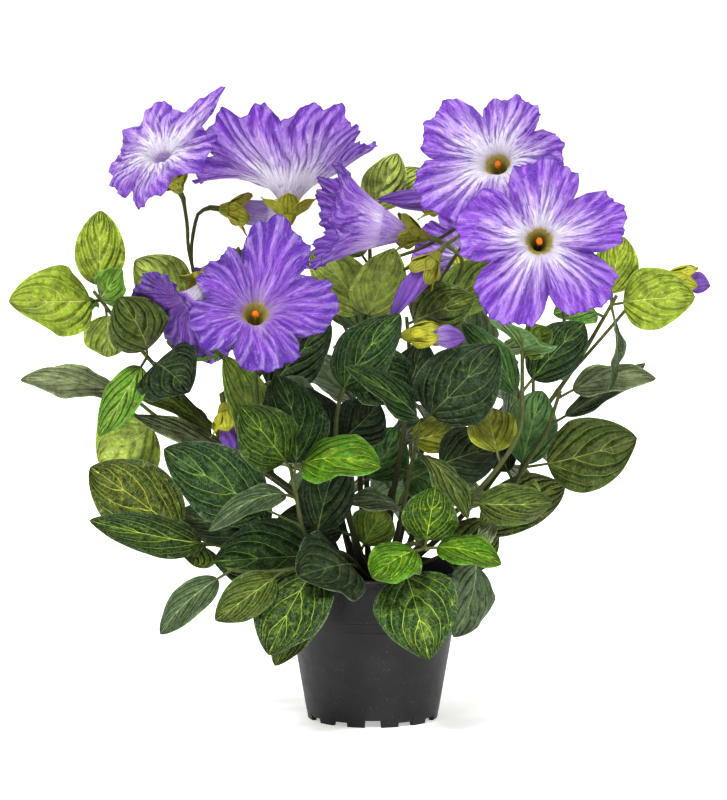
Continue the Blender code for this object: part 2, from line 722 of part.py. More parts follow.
def back_spray(name, draw):
    # The stem and the leaves of a spray at the back: pairs of leaves, each pair square to the last.
    lean, reach, height, root = BACK_SPRAYS[name]
    away = Vector((math.cos(math.radians(lean)), math.sin(math.radians(lean)), 0.0))
    x, y = root
    foot = Vector((x, y, SOIL_TOP + ROOT_STRAIGHT))
    top = away * (reach - BACK_TIP_LENGTH) + Vector((0.0, 0.0, height))
    knee = foot.lerp(top, 0.5) + Vector((0.0, 0.0, BACK_KNEE_RISE)) - away * BACK_KNEE_SET
    line = [Vector((x, y, SOIL_TOP - ROOT_DEPTH))] + smooth_line([foot, knee, top], SPRAY_STEPS)
    leaves = []
    for share, length, width, turn in BACK_LEAVES:
        start = along_line(line[1:], share)
        onward = direction_along(line[1:], share)
        flat = onward.cross(Vector((0.0, 0.0, 1.0))).normalized()
        turned = math.radians(turn + draw.uniform(-BACK_TURN_SPREAD, BACK_TURN_SPREAD))
        around = Matrix.Rotation(turned, 3, onward) @ flat
        way = onward * BACK_ONWARD + around - Vector((0.0, 0.0, BACK_DROOP))
        leaves.append({
            "start": start, "tip": start + way.normalized() * length * draw.uniform(*BACK_LENGTH_SPREAD),
            "width": width, "looks": away * BACK_LOOKS[0] + Vector((0.0, 0.0, BACK_LOOKS[1])),
            "arch": draw.uniform(*BACK_ARCH), "stalk": STALK_SHARE, "number": len(leaves),
        })
    return line, leaves


# Flowers

def flower_of(name, spec):
    # A flower's row with its usual values and the place of its cup's foot.
    flower = dict(USUAL_FLOWER, **spec)
    if "foot" in spec:
        flower["base"] = on_sight(spec["foot"])
    else:
        axis = flower_axes(spec["looks"])[0]
        flower["base"] = on_sight(spec["mouth"]) - axis * (CUP_LENGTH + GAP + spec["tube"])
    flower["pistil"] = name in BLOOMS and name not in NO_PISTIL
    return flower


def flower_axes(looks):
    axis = Vector(looks).normalized()
    upright = Vector((0.0, 0.0, 1.0)) if abs(axis.z) < NEARLY_UPRIGHT else Vector((0.0, 1.0, 0.0))
    first = square_to(axis, upright)
    return axis, first, first.cross(axis)


def petal_at(flower, turn):
    # At this many lobes round from the first: the angle, the petals' reach and how they bend.
    lobe = round(turn)
    off = turn - lobe
    count = LOBE_COUNT
    here = flower["lobes"][lobe % count]
    beside = flower["lobes"][(lobe + (1 if off > 0 else -1)) % count]
    point = here[3] if len(here) > 3 else flower["point"]
    share = abs(2 * off)
    apart = (beside[0] - here[0] + 180) % 360 - 180
    angle = math.radians(here[0] + apart * share / 2)
    reach = here[1] + (beside[1] - here[1]) * share * share / 2
    reach *= 1 - flower["notch"] * share ** NOTCH_SHARPNESS - point * share * (1 - share)
    return angle, reach, here[2] + (beside[2] - here[2]) * share / 2


def petal_point(flower, row, turn):
    # Rows up to 1 lie on the tube, rows from 1 to 2 on the spread lobes.
    axis, first, second = flower_axes(flower["looks"])
    wide = flower["throat"]
    angle, reach, bend = petal_at(flower, turn)
    height = CUP_LENGTH + GAP + TUBE_LIFT + (flower["tube"] - TUBE_LIFT) * min(row, 1)
    out = TUBE_FOOT + (wide - TUBE_FOOT) * min(row, 1) ** flower["swell"]
    if row > 1:
        q = row - 1
        flare = flower["flare"]
        bend = bend if abs(bend) > STRAIGHT else STRAIGHT
        length = reach - wide
        out += length * (math.sin(flare + bend * q) - math.sin(flare)) / bend
        height += length * (math.cos(flare) - math.cos(flare + bend * q)) / bend
        height += flower["ruffle"] * q * q * math.sin(2 * math.pi * RUFFLES * turn + flower["tube"])
    around = first * math.cos(angle) + second * math.sin(angle)
    return flower["base"] + axis * height + around * out


def petals(name, flower, collection):
    turns = [lobe + stop for lobe in range(LOBE_COUNT) for stop in LOBE_STOPS]
    steps = len(turns)
    rows = flower["rows"] + tuple(1 + q for q in LIMB_ROWS)
    points = [petal_point(flower, row, turn) for row in rows for turn in turns]
    faces = []
    for i in range(len(rows) - 1):
        for k in range(steps):
            a = i * steps + k
            b = i * steps + (k + 1) % steps
            faces.append((a, b, b + steps))
            faces.append((a, b + steps, a + steps))
    item = new_object(name, points, faces, collection)
    point_outwards(item)
    shell = item.modifiers.new("thickness", "SOLIDIFY")
    shell.thickness = PETAL_THICKNESS * MM
    shell.offset = 1.0
    shell.use_even_offset = False
    return item


def sepal_rows(flower, number, inset):
    # A sepal's two side points half way along, and its tip, on its outer or its inner side.
    axis, first, second = flower_axes(flower["looks"])
    angle = 2 * math.pi * (number + 0.5) / SEPAL_COUNT
    around = first * math.cos(angle) + second * math.sin(angle)
    side = axis.cross(around)
    spread = flower["spread"]
    along = axis * math.cos(spread) + around * math.sin(spread)
    out = around * math.cos(spread) - axis * math.sin(spread)
    root = flower["base"] + axis * CUP_LENGTH + around * (CUP_RADII[1] * math.cos(math.pi / SEPAL_COUNT))
    middle = root + along * (SEPAL_LENGTH / 2) + out * (SEPAL_CURL / 4 - inset)
    tip = root + along * SEPAL_LENGTH + out * (SEPAL_CURL - inset)
    room = (middle - flower["base"]).dot(around) * math.tan(math.pi / SEPAL_COUNT)
    half = min(SEPAL_HALF_WIDTH, room * SEPAL_CLOSENESS)
    return middle - side * half, middle + side * half, tip


def crown(name, flower, collection):
    # The cup of a flower with its five sepals, all in one closed body.
    axis, first, second = flower_axes(flower["looks"])
    count = SEPAL_COUNT
    points = []
    for height, radius in ((0.0, CUP_RADII[0]), (CUP_LENGTH, CUP_RADII[1]),
                           (CUP_LENGTH, CUP_RADII[1] - SEPAL_THICKNESS)):
        for k in range(count):
            angle = 2 * math.pi * k / count
            around = first * math.cos(angle) + second * math.sin(angle)
            points.append(flower["base"] + axis * height + around * radius)
    faces = [tuple(range(count)), tuple(range(2 * count, 3 * count))]
    for k in range(count):
        beside = (k + 1) % count
        rim = (count + k, count + beside)
        inner = (2 * count + k, 2 * count + beside)
        faces.append((k, beside, rim[1], rim[0]))
        outside = list(range(len(points), len(points) + 3))
        inside = [index + 3 for index in outside]
        for inset in (0.0, SEPAL_THICKNESS):
            left, right, tip = sepal_rows(flower, k, inset)
            near = (left - points[rim[0]]).length < (right - points[rim[0]]).length
            points += [left, right, tip] if near else [right, left, tip]
        for edge, row in ((rim, outside), (inner, inside)):
            faces.append((edge[0], edge[1], row[1]))
            faces.append((edge[0], row[1], row[0]))
            faces.append((row[0], row[1], row[2]))
        for j in (0, 1):
            faces.append((rim[j], outside[j], inside[j]))
            faces.append((rim[j], inside[j], inner[j]))
            faces.append((outside[j], outside[2], inside[2]))
            faces.append((outside[j], inside[2], inside[j]))
    return new_object(name, points, faces, collection)


def pedicel_line(flower, host_line):
    # The flower's own stem: square off the spray that carries it, then by its way into the cup.
    axis = flower_axes(flower["looks"])[0]
    share = flower["at"]
    host = along_line(host_line[1:], share)
    way = [on_sight(place) for place in flower["via"]]
    aside = square_to(direction_along(host_line[1:], share), way[0] - host)
    start = host + aside * (spray_radius(share) + GAP)
    into = [flower["base"] - axis * PEDICEL_RUN_IN, flower["base"] + axis * PEDICEL_SINK]
    line = smooth_line([start + aside * PEDICEL_START] + way + into[:1], PEDICEL_STEPS)
    return [start] + line + into[1:]


def calyx(name, flower, host_line, collection):
    line = pedicel_line(flower, host_line)
    stem = tube(name + "_stem", line, [PEDICEL_RADIUS] * len(line), collection)
    return fuse(name, stem, [crown(name + "_crown", flower, collection)], collection)


def pistil(name, flower, collection):
    axis, first, second = flower_axes(flower["looks"])
    foot = flower["base"] + axis * (CUP_LENGTH + GAP)
    top = flower["base"] + axis * (CUP_LENGTH + flower["tube"] * PISTIL_SHARE)
    style = tube(name + "_style", [foot, top], [PISTIL_RADIUS] * 2, collection)
    ball = bmesh.new()
    bmesh.ops.create_icosphere(ball, subdivisions=1, radius=1.0)
    wide, tall = ANTHER_RADII
    points = [top + first * (v.co.x * wide) + second * (v.co.y * wide) + axis * (v.co.z * tall)
              for v in ball.verts]
    faces = [tuple(corner.index for corner in face.verts) for face in ball.faces]
    ball.free()
    head = new_object(name + "_head", points, faces, collection)
    return fuse(name, style, [head], collection)


def bud_point(bud, share, radius, angle):
    axis, first, second = flower_axes(bud["looks"])
    ridge = 1 + BUD_RIDGE * math.cos(LOBE_COUNT * angle)
    turned = angle + BUD_TWIST * share
    around = first * math.cos(turned) + second * math.sin(turned)
    sag = Vector((0.0, 0.0, -BUD_SAG * bud["length"] * share * share))
    height = CUP_LENGTH + GAP + bud["length"] * share
    return bud["base"] + axis * height + around * (radius * ridge) + sag


def bud_petals(name, bud, collection):
    points = [bud_point(bud, 0.0, 0.0, 0.0)]
    for share, radius in bud["shape"]:
        points += [bud_point(bud, share, radius, 2 * math.pi * k / BUD_SIDES) for k in range(BUD_SIDES)]
    points.append(bud_point(bud, 1.0, 0.0, 0.0))
    faces = []
    last = len(points) - 1
    for k in range(BUD_SIDES):
        beside = (k + 1) % BUD_SIDES
        faces.append((0, 1 + beside, 1 + k))
        faces.append((last, last - BUD_SIDES + k, last - BUD_SIDES + beside))
        for i in range(len(bud["shape"]) - 1):
            a = 1 + i * BUD_SIDES + k
            b = 1 + i * BUD_SIDES + beside
            faces.append((a, b, b + BUD_SIDES))
            faces.append((a, b + BUD_SIDES, a + BUD_SIDES))
    return new_object(name, points, faces, collection)


# Pot and soil

def turned_body(name, profile, sides, collection):
    # A profile of (radius, height) turned about the pot's axis.
    mesh = bpy.data.meshes.new(name)
    points = [(radius * MM, 0.0, height * MM) for radius, height in profile]
    mesh.from_pydata(points, [(i, i + 1) for i in range(len(points) - 1)], [])
    item = bpy.data.objects.new(name, mesh)
    collection.objects.link(item)
    turn = item.modifiers.new("turn", "SCREW")
    turn.axis = "Z"
    turn.angle = 2 * math.pi
    turn.steps = sides
    turn.render_steps = sides
    turn.use_merge_vertices = True
    turn.merge_threshold = 0.0001
    turn.use_smooth_shade = False
    return item


def body_radius(height):
    foot, top = BODY_RADII[1], BODY_RADII[0]
    return foot + (top - foot) * height / SHOULDER_BOTTOM


def inner_profile(gap):
    # The pot's inside from the floor's edge up to the rim, drawn in by the gap.
    inset = POT_WALL + gap
    low = FLOOR_HEIGHT + POT_WALL + gap
    return [
        (body_radius(low) - inset, low),
        (BODY_RADII[0] - inset, SHOULDER_BOTTOM),
        (SHOULDER_RADII[0] - inset, COLLAR_BOTTOM),
        (COLLAR_RADII[1] - inset, COLLAR_BOTTOM + STEP_SLOPE),
        (COLLAR_RADII[0] - inset, POT_HEIGHT),
    ]


def pot(collection, cutters):
    profile = [(0.0, FLOOR_HEIGHT + POT_WALL)] + inner_profile(0.0) + [
        (RIM_RADIUS - RIM_EDGE, POT_HEIGHT),
        (RIM_RADIUS, POT_HEIGHT - RIM_EDGE),
        (RIM_RADIUS, POT_HEIGHT - RIM_BEAD_HEIGHT),
        (COLLAR_RADII[0], POT_HEIGHT - RIM_BEAD_HEIGHT - STEP_SLOPE),
        (COLLAR_RADII[1], COLLAR_BOTTOM),
        (SHOULDER_RADII[0], COLLAR_BOTTOM - STEP_SLOPE),
        (SHOULDER_RADII[1], SHOULDER_BOTTOM),
        (BODY_RADII[0], SHOULDER_BOTTOM - STEP_SLOPE),
        (BODY_RADII[1], 0.0),
        (BODY_RADII[1] - FOOT_WALL, 0.0),
        (BODY_RADII[1] - FOOT_WALL, FLOOR_HEIGHT),
        (0.0, FLOOR_HEIGHT),
    ]
    item = turned_body("pot", profile, POT_SIDES, collection)
    for k in range(FOOT_NOTCHES):
        height = NOTCH_HEIGHT if k % DRAIN_EVERY else DRAIN_NOTCH_HEIGHT
        angle = 2 * math.pi * k / FOOT_NOTCHES - math.pi / 2
        cut_notch("notch_%d" % k, angle, height, cutters)
    cut = item.modifiers.new("notches", "BOOLEAN")
    cut.operation = "DIFFERENCE"
    cut.operand_type = "COLLECTION"
    cut.collection = cutters
    cut.solver = "MANIFOLD"
    return item


def cut_notch(name, angle, height, collection):
    box = bmesh.new()
    size = Matrix.Diagonal((4 * FOOT_WALL * MM, NOTCH_WIDTH * MM, 2 * height * MM, 1.0))
    place = Matrix.Rotation(angle, 4, "Z") @ Matrix.Translation((BODY_RADII[1] * MM, 0.0, 0.0))
    bmesh.ops.create_cube(box, size=1.0, matrix=place @ size)
    mesh = bpy.data.meshes.new(name)
    box.to_mesh(mesh)
    box.free()
    item = bpy.data.objects.new(name, mesh)
    item.hide_render = True
    item.display_type = "WIRE"
    collection.objects.link(item)


def soil(roots, collection, cutters):
    draw = random.Random(SOIL_SEED)
    wall = inner_profile(GAP)[:2]
    low, high = inner_profile(GAP)[-2:]
    share = (SOIL_TOP - low[1]) / (high[1] - low[1])
    edge = low[0] + (high[0] - low[0]) * share
    top = [(edge * ring, SOIL_TOP) for ring in SOIL_RINGS]
    profile = [(0.0, SOIL_TOP)] + top[::-1] + wall[::-1] + [(0.0, wall[0][1])]
    item = turned_body("soil", profile, SOIL_SIDES, collection)
    item.data = finished_mesh(item)
    item.modifiers.clear()
    for corner in item.data.vertices:
        x, y, z = corner.co / MM
        if z > SOIL_TOP - GAP and math.hypot(x, y) < edge - GAP:
            corner.co.z += draw.uniform(0.0, SOIL_BUMP) * MM
    for number, (x, y) in enumerate(roots):
        drill_hole("hole_%d" % number, x, y, cutters)
    cut = item.modifiers.new("holes", "BOOLEAN")
    cut.operation = "DIFFERENCE"
    cut.operand_type = "COLLECTION"
    cut.collection = cutters
    cut.solver = "MANIFOLD"
    return item


def drill_hole(name, x, y, collection):
    radius = (SPRAY_RADII[0] + GAP) / math.cos(math.pi / HOLE_SIDES)
    depth = ROOT_DEPTH + GAP
    bit = bmesh.new()
    place = Matrix.Translation((x * MM, y * MM, SOIL_TOP * MM))
    bmesh.ops.create_cone(bit, cap_ends=True, segments=HOLE_SIDES, radius1=radius * MM,
                          radius2=radius * MM, depth=2 * depth * MM, matrix=place)
    mesh = bpy.data.meshes.new(name)
    bit.to_mesh(mesh)
    bit.free()
    item = bpy.data.objects.new(name, mesh)
    item.hide_render = True
    item.display_type = "WIRE"
    collection.objects.link(item)


# Materials

def kind_of(name):
    # Which colour a piece has.
    for ending, kind in (("_petals", "petal"), ("_calyx", "calyx"), ("_pistil", "pistil")):
        if name.endswith(ending):
            return kind
    if name in MATERIALS:
        return name
    if name in LIGHT_SPRAYS:
        return "leaf_light"
    return "leaf_green" if name in GREEN_SPRAYS else "leaf_dark"


def paint(item):
    red, green, blue, roughness = MATERIALS[kind_of(item.name)]
    made = bpy.data.materials.new(item.name + "_material")
    made.use_nodes = True
    shader = made.node_tree.nodes["Principled BSDF"]
    shader.inputs["Base Color"].default_value = (red, green, blue, 1.0)
    shader.inputs["Roughness"].default_value = roughness
    item.data.materials.clear()
    item.data.materials.append(made)


# The whole plant

def grow_lines():
    # The stems' lines, and the leaves that are to grow on them in the order in which they grow.
    draw = random.Random(BACK_SEED)
    lines = {}
    leaves = []
    for name, spec in SPRAYS.items():
        lines[name] = spray_line(spec["root"], spec["path"])
        leaves.append((name, spray_leaves(spec["leaves"], lines[name], 0)))
    for name in BACK_SPRAYS:
        lines[name], rows = back_spray(name, draw)
        leaves.append((name, rows))
    for name, rows in INNER_LEAVES.items():
        leaves.append((name, spray_leaves(rows, lines[name], len(SPRAYS[name]["leaves"]))))
    return lines, leaves


def grow_stems(lines, collection):
    stems = {}
    for name, line in lines.items():
        radii = [spray_radius(k / (len(line) - 1)) for k in range(len(line))]
        stems[name] = tube(name, line, radii, collection)
    return stems


def grow_flowers(lines, collection):
    pieces = []
    for name, spec in BLOOMS.items():
        flower = flower_of(name, spec)
        pieces.append(petals(name + "_petals", flower, collection))
        pieces.append(calyx(name + "_calyx", flower, lines[flower["host"]], collection))
        if flower["pistil"]:
            pieces.append(pistil(name + "_pistil", flower, collection))
    for name, spec in BUDS.items():
        bud = flower_of(name, spec)
        pieces.append(bud_petals(name + "_petals", bud, collection))
        pieces.append(calyx(name + "_calyx", bud, lines[bud["host"]], collection))
    return pieces


def grow_leaves(leaves, stems, taken, collection):
    # Each leaf grows clear of everything before it, and is then sunk into its spray's stem.
    choices = leaf_choices()
    own_stems = dict(taken)
    grown = {name: [] for name in stems}
    blades = {name: [] for name in stems}
    stalks = {name: [] for name in stems}
    for name, rows in leaves:
        for leaf in rows:
            shape = grown_leaf(leaf, name, taken, blades[name], own_stems[name], choices)
            grown[name].append(shape)
            if shape is None:
                continue
            blades[name].append(body_tree(*leaf_body(shape, False, LEAF_THICKNESS)))
            points, faces = leaf_body(shape, True, LEAF_THICKNESS)
            taken.append((name, body_tree(points, faces)))
            stalks[name].append(new_object(name + "_leaf", points, faces, collection))
    for name, stem in stems.items():
        fuse(name, stem, stalks[name], collection)
    return grown


def new_collection(name):
    collection = bpy.data.collections.new(name)
    bpy.context.scene.collection.children.link(collection)
    return collection


def main():
    for item in list(bpy.data.objects):
        bpy.data.objects.remove(item)
    plant = new_collection("potted_petunia")
    notch_cutters = new_collection("notch_cutters")
    hole_cutters = new_collection("hole_cutters")
    lines, leaves = grow_lines()
    roots = [(line[0].x, line[0].y) for line in lines.values()]
    holders = [pot(plant, notch_cutters), soil(roots, plant, hole_cutters)]
    stems = grow_stems(lines, plant)
    pieces = holders + list(stems.values()) + grow_flowers(lines, plant)
    taken = [(piece.name, object_tree(piece)) for piece in pieces]
    grown = grow_leaves(leaves, stems, taken, plant)
    for item in plant.objects:
        paint(item)
    return grown


main()
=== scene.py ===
# Potted petunia: fine leaves, blooms, stems, soil and pot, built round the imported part.
# Sizes and places below are millimetres, as in the part. The scene itself is in metres.
import json
import math
import random

import bmesh
import bpy
import numpy as np
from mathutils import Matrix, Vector
from mathutils.kdtree import KDTree
from mathutils.noise import noise as noiseAt


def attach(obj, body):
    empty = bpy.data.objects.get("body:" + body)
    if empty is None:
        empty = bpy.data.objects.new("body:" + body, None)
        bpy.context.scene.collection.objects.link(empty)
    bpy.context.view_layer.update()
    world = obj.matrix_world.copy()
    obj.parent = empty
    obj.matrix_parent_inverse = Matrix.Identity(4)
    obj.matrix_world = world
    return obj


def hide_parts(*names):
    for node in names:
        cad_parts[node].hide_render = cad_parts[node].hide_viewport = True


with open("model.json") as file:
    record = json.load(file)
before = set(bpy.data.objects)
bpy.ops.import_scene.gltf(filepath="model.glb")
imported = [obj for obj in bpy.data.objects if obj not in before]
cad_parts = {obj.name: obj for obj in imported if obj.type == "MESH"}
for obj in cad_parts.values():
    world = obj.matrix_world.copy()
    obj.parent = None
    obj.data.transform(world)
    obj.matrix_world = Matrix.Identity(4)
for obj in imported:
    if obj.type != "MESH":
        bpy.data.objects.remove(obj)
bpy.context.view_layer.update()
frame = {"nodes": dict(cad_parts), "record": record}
print("frame loaded:", len(frame["nodes"]), "nodes")

mm = 0.001
fullTurn = 2 * math.pi
up = np.array((0.0, 0.0, 1.0))

# Places are given on the upright plane through the pot's axis, as seen from this eye point, and each
# one then moves along its sight line to its own depth. Depth is negative towards the eye.
eye = np.array((-6.0, -2200.0, 428.0))
lookAt = np.array((-6.0, 0.0, 208.0))
lensLength = 153.1

facings = {
    "front": (0.0, -1.0, 0.3), "up_front": (0.0, -0.8, 0.8), "right": (0.8, -0.8, 0.3),
    "left_up": (-0.6, -0.6, 0.8), "edge": (1.0, -0.25, 0.2),
}

# The leaves' colours: the blade, its veins and blotches (sRGB), and how strongly those show.
leafTints = {
    "bright": ("9CB830", "EAF084", 0.8), "pale": ("C4DE64", "EEF4A8", 0.7),
    "gold": ("A4AC30", "E2E06C", 0.5), "lime": ("488812", "CCE648", 1.0),
    "spring": ("1E5014", "BCDC44", 1.0), "clear": ("184420", "BEDE5A", 1.0),
    "fresh": ("50922C", "C8E270", 0.85), "leafy": ("70AA34", "D8EA84", 0.85),
    "olive": ("86A83E", "D4E084", 0.75), "mid": ("254C14", "ACC84E", 0.9),
    "moss": ("4A6224", "BCCA68", 0.85), "veined": ("123826", "BCDA54", 0.9),
    "dark": ("10361E", "98C05C", 0.85), "deep": ("1B331E", "86A05C", 0.7),
    "shade": ("56844A", "A8C878", 0.6), "yellow": ("34501E", "D2D858", 0.95),
    "grey": ("98A878", "D4DCB4", 0.5), "dusk": ("5C7450", "B4C890", 0.65),
}

# The sprays at the front. Each has the place of its root in the soil (x, y), the points that its
# stem passes (x, z, depth), and its leaves. A leaf is a row of: how far along the stem it grows, its
# tip (x, z, depth), its width and its tint. Where they aren't usualLeaf's, the way its upper side looks,
# its arch and its stalk's share of its length follow.
sprays = {
    "spray_left_top": {
        "root": (-17, 3), "path": [(-40, 138, 8), (-95, 182, 12), (-148, 238, 0), (-181, 279, -6)],
        "leaves": [
            (1.0, -176, 331, 0, 33, "bright"), (1.0, -236, 272, -55, 46, "bright"),
            (1.0, -162, 293, -36, 24, "leafy", "front", 0.15),
            (1.0, -196, 262, -38, 15, "fresh", "up_front"), (0.95, -172, 236, 6, 32, "pale", "front", 0.12),
            (0.78, -165, 275, -32, 40, "moss", "front", 0.12),
            (0.76, -119, 213, -28, 48, "deep", "front", 0.15),
            (0.78, -178, 184, -38, 25, "leafy", "front", 0.12),
        ],
    },
    "spray_left_middle": {
        "root": (-16, 9), "path": [(-45, 140, 18), (-90, 172, 24), (-130, 190, 24), (-160, 213, 18)],
        "leaves": [
            (1.0, -229, 221, 6, 27, "grey", "up_front", 0.08),
            (0.85, -178, 166, 14, 50, "pale", "front", 0.12),
            (0.62, -158, 214, -6, 20, "olive", "up_front", 0.12), (0.44, -97, 237, -4, 36, "olive"),
            (0.52, -156, 198, -12, 18, "grey", "up_front"),
        ],
    },
    "spray_left_low": {
        "root": (-16, -5), "path": [(-45, 120, -15), (-85, 114, -35), (-118, 113, -46)],
        "leaves": [
            (1.0, -184, 164, -30, 50, "yellow"), (0.86, -185, 129, -84, 27, "veined", "front", 0.12),
            (0.92, -117, 99, -60, 30, "moss"), (0.5, -104, 158, -20, 30, "deep"),
            (0.5, -128, 134, -14, 30, "deep"),
        ],
    },
    "spray_front_left": {
        "root": (-10, -13), "path": [(-28, 106, -35), (-44, 120, -55), (-50, 146, -62), (-54, 166, -62)],
        "leaves": [
            (1.0, -86, 204, -88, 40, "mid", "front", 0.12),
            (0.62, -136, 176, -80, 48, "dark", "front", 0.12, 0.3),
            (0.8, -107, 122, -104, 18, "dusk", "up_front", 0.2),
            (0.3, -104, 102, -88, 52, "dark", "front", 0.12), (1.0, 5, 164, -100, 42, "lime", "up_front"),
            (0.9, -62, 224, -58, 44, "dark", "front", 0.18),
            (0.45, -20, 176, -46, 36, "deep", "front", 0.12),
        ],
    },
    "spray_front_low": {
        "root": (-4, -18), "path": [(-22, 108, -45), (-46, 98, -74), (-75, 95, -80), (-95, 97, -74)],
        "leaves": [
            (0.45, -68, 40, -104, 50, "veined"), (0.5, -64, 33, -84, 30, "moss"),
            (1.0, -139, 54, -62, 22, "dusk"), (0.7, -103, 63, -86, 28, "moss"),
            (0.12, -49, 92, -98, 52, "deep", "front", 0.12, 0.3),
        ],
    },
    "spray_front_right": {
        "root": (5, -18), "path": [(18, 110, -42), (30, 114, -66), (35, 110, -78)],
        "leaves": [
            (1.0, 41, 151, -84, 36, "spring", "front", 0.12),
            (1.0, 84, 100, -96, 26, "lime", "up_front", 0.08),
            (1.0, 0, 91, -106, 34, "lime", "up_front", 0.05),
            (0.38, 37, 37, -96, 54, "clear", "front", 0.2, 0.34),
        ],
    },
    "spray_right_low": {
        "root": (16, -9),
        "path": [(50, 108, -22), (84, 132, -26), (94, 156, -24), (112, 186, -20), (122, 214, -16)],
        "leaves": [
            (0.33, 53, 52, -62, 38, "dusk", "right", 0.15, 0.3), (0.3, 125, 152, 16, 36, "yellow"),
            (0.68, 172, 183, -44, 48, "moss", "front", 0.1, 0.22), (0.58, 106, 138, -42, 26, "olive"),
            (0.97, 184, 222, -14, 25, "grey", "up_front", 0.12),
            (0.86, 177, 232, 12, 16, "dusk", "up_front", 0.05), (0.6, 72, 198, 26, 28, "deep"),
            (0.44, 70, 111, -50, 12, "grey", "up_front"), (0.14, 82, 124, 8, 36, "yellow"),
            (0.62, 110, 214, 8, 34, "shade"),
        ],
    },
    "spray_right_top": {
        "root": (17, 4),
        "path": [(62, 136, 14), (104, 192, 16), (130, 228, 8), (150, 262, 0), (158, 276, -4)],
        "leaves": [
            (1.0, 209, 275, -22, 42, "bright"), (1.0, 162, 314, 8, 30, "bright"),
            (0.93, 117, 264, -20, 26, "fresh", "up_front"), (0.97, 152, 213, -14, 18, "dusk", "edge", 0.08),
        ],
    },
    "spray_right_centre": {
        "root": (12, -14),
        "path": [(40, 122, -38), (72, 152, -50), (95, 186, -54), (97, 214, -58), (97, 240, -58)],
        "leaves": [
            (1.0, 85, 258, -110, 50, "fresh", "up_front", 0.12),
            (1.0, 116, 254, -84, 26, "olive", "up_front", 0.08),
            (0.8, 58, 258, -40, 24, "shade", "up_front"), (0.86, 137, 258, -36, 34, "dark"),
            (0.6, 76, 203, -20, 32, "gold"), (0.42, 117, 141, -60, 28, "moss"),
        ],
    },
    "spray_centre": {
        "root": (-3, -9), "path": [(-18, 140, -30), (-24, 190, -36), (-14, 238, -38)],
        "leaves": [
            (1.0, 24, 208, -54, 44, "dark", "front", 0.12), (0.8, 18, 264, -58, 38, "dark"),
            (0.62, 4, 206, -14, 36, "deep"), (0.35, -40, 142, -50, 26, "deep", "up_front"),
            (0.5, -43, 216, -20, 32, "deep"), (0.2, -64, 128, -14, 32, "deep"),
            (0.12, 8, 136, -2, 30, "olive"),
        ],
    },
    "spray_centre_top": {
        "root": (-1, 9), "path": [(-8, 150, 22), (-8, 220, 30), (-2, 285, 26), (-3, 333, 24)],
        "leaves": [
            (1.0, 16, 368, 16, 30, "pale"), (1.0, 32, 358, 34, 20, "pale"), (0.68, -40, 305, 4, 36, "pale"),
            (0.68, 14, 307, -4, 38, "pale"), (0.84, -30, 342, 20, 26, "olive"),
            (0.24, 16, 190, 18, 36, "shade"),
        ],
    },
    "spray_right_middle": {
        "root": (6, -6), "path": [(16, 120, -14), (24, 160, -22), (32, 196, -30)],
        "leaves": [
            (1.0, 81, 244, -66, 52, "deep", "front", 0.12),
            (1.0, -18, 230, -76, 24, "dark", "up_front", 0.12),
            (0.8, 62, 130, -62, 28, "moss", "right", 0.14),
            (0.62, 82, 178, -6, 38, "deep", "front", 0.1, 0.35),
            (0.42, -18, 140, -60, 20, "dusk", "up_front", 0.15),
        ],
    },
    "spray_centre_right": {
        "root": (8, 3), "path": [(14, 150, 12), (24, 215, 6), (22, 262, -12)],
        "leaves": [
            (1.0, 66, 275, -64, 42, "moss"), (0.9, 84, 296, 22, 34, "olive", "front", 0.1, 0.35),
            (0.5, 56, 190, 34, 26, "gold"), (0.4, 44, 150, 20, 30, "shade"), (0.62, 34, 246, 4, 32, "deep"),
        ],
    },
    "spray_left_back": {
        "root": (-9, 2), "path": [(-30, 150, 20), (-70, 205, 30), (-105, 245, 28), (-118, 272, 22)],
        "leaves": [
            (1.0, -154, 299, 20, 38, "pale"), (0.8, -128, 238, 2, 18, "leafy", "up_front"),
            (0.95, -92, 300, 34, 30, "pale"), (0.62, -27, 258, 20, 38, "deep"),
        ],
    },
}
usualLeaf = ["front", 0.1, 0.16]

# The sprays at the back: lean (degrees, 0 to the right, 90 straight back), reach, height, root (x, y).
backSprays = {
    "spray_back_1": (22, 150, 175, (17, 10)), "spray_back_2": (48, 165, 235, (13, 16)),
    "spray_back_3": (72, 135, 150, (5, 19)), "spray_back_4": (95, 150, 265, (-3, 15)),
    "spray_back_5": (118, 150, 165, (-8, 20)), "spray_back_6": (142, 155, 245, (-12, 13)),
}
backLook = {
    # how far along the stem, length, width, and the turn about the stem in degrees
    "leaves": ((0.36, 58, 40, 20), (0.52, 62, 40, 180), (0.78, 58, 40, 80),
               (0.80, 58, 40, 250), (0.96, 50, 34, 10), (0.97, 56, 38, 165)),
    "tipLength": 40.0, "kneeRise": 22.0, "kneeSet": 14.0, "onward": 0.75, "droop": 0.15,
    "turnSpread": 15, "lengthSpread": (0.92, 1.08), "arch": (0.06, 0.16), "looks": (0.7, 0.8),
    "seed": 7, "tints": ("mid", "dark", "fresh", "moss", "olive", "mid"),
}

stemLook = {
    "radii": (2.1, 1.2), "partSteps": 6, "steps": 44, "sides": 10, "soilTop": 89.0,
    "rootDepth": 24.0, "rootStraight": 5.0, "fineness": 12, "lookAlong": 0.03,
    "jointEvery": 0.17, "jointSwell": 0.22, "jointLength": 0.012, "greening": 1.3,
    "old": "2A2618", "young": "5E6B34", "bark": "3A3420", "stalkAge": 0.9, "pedicelAge": 0.75,
}

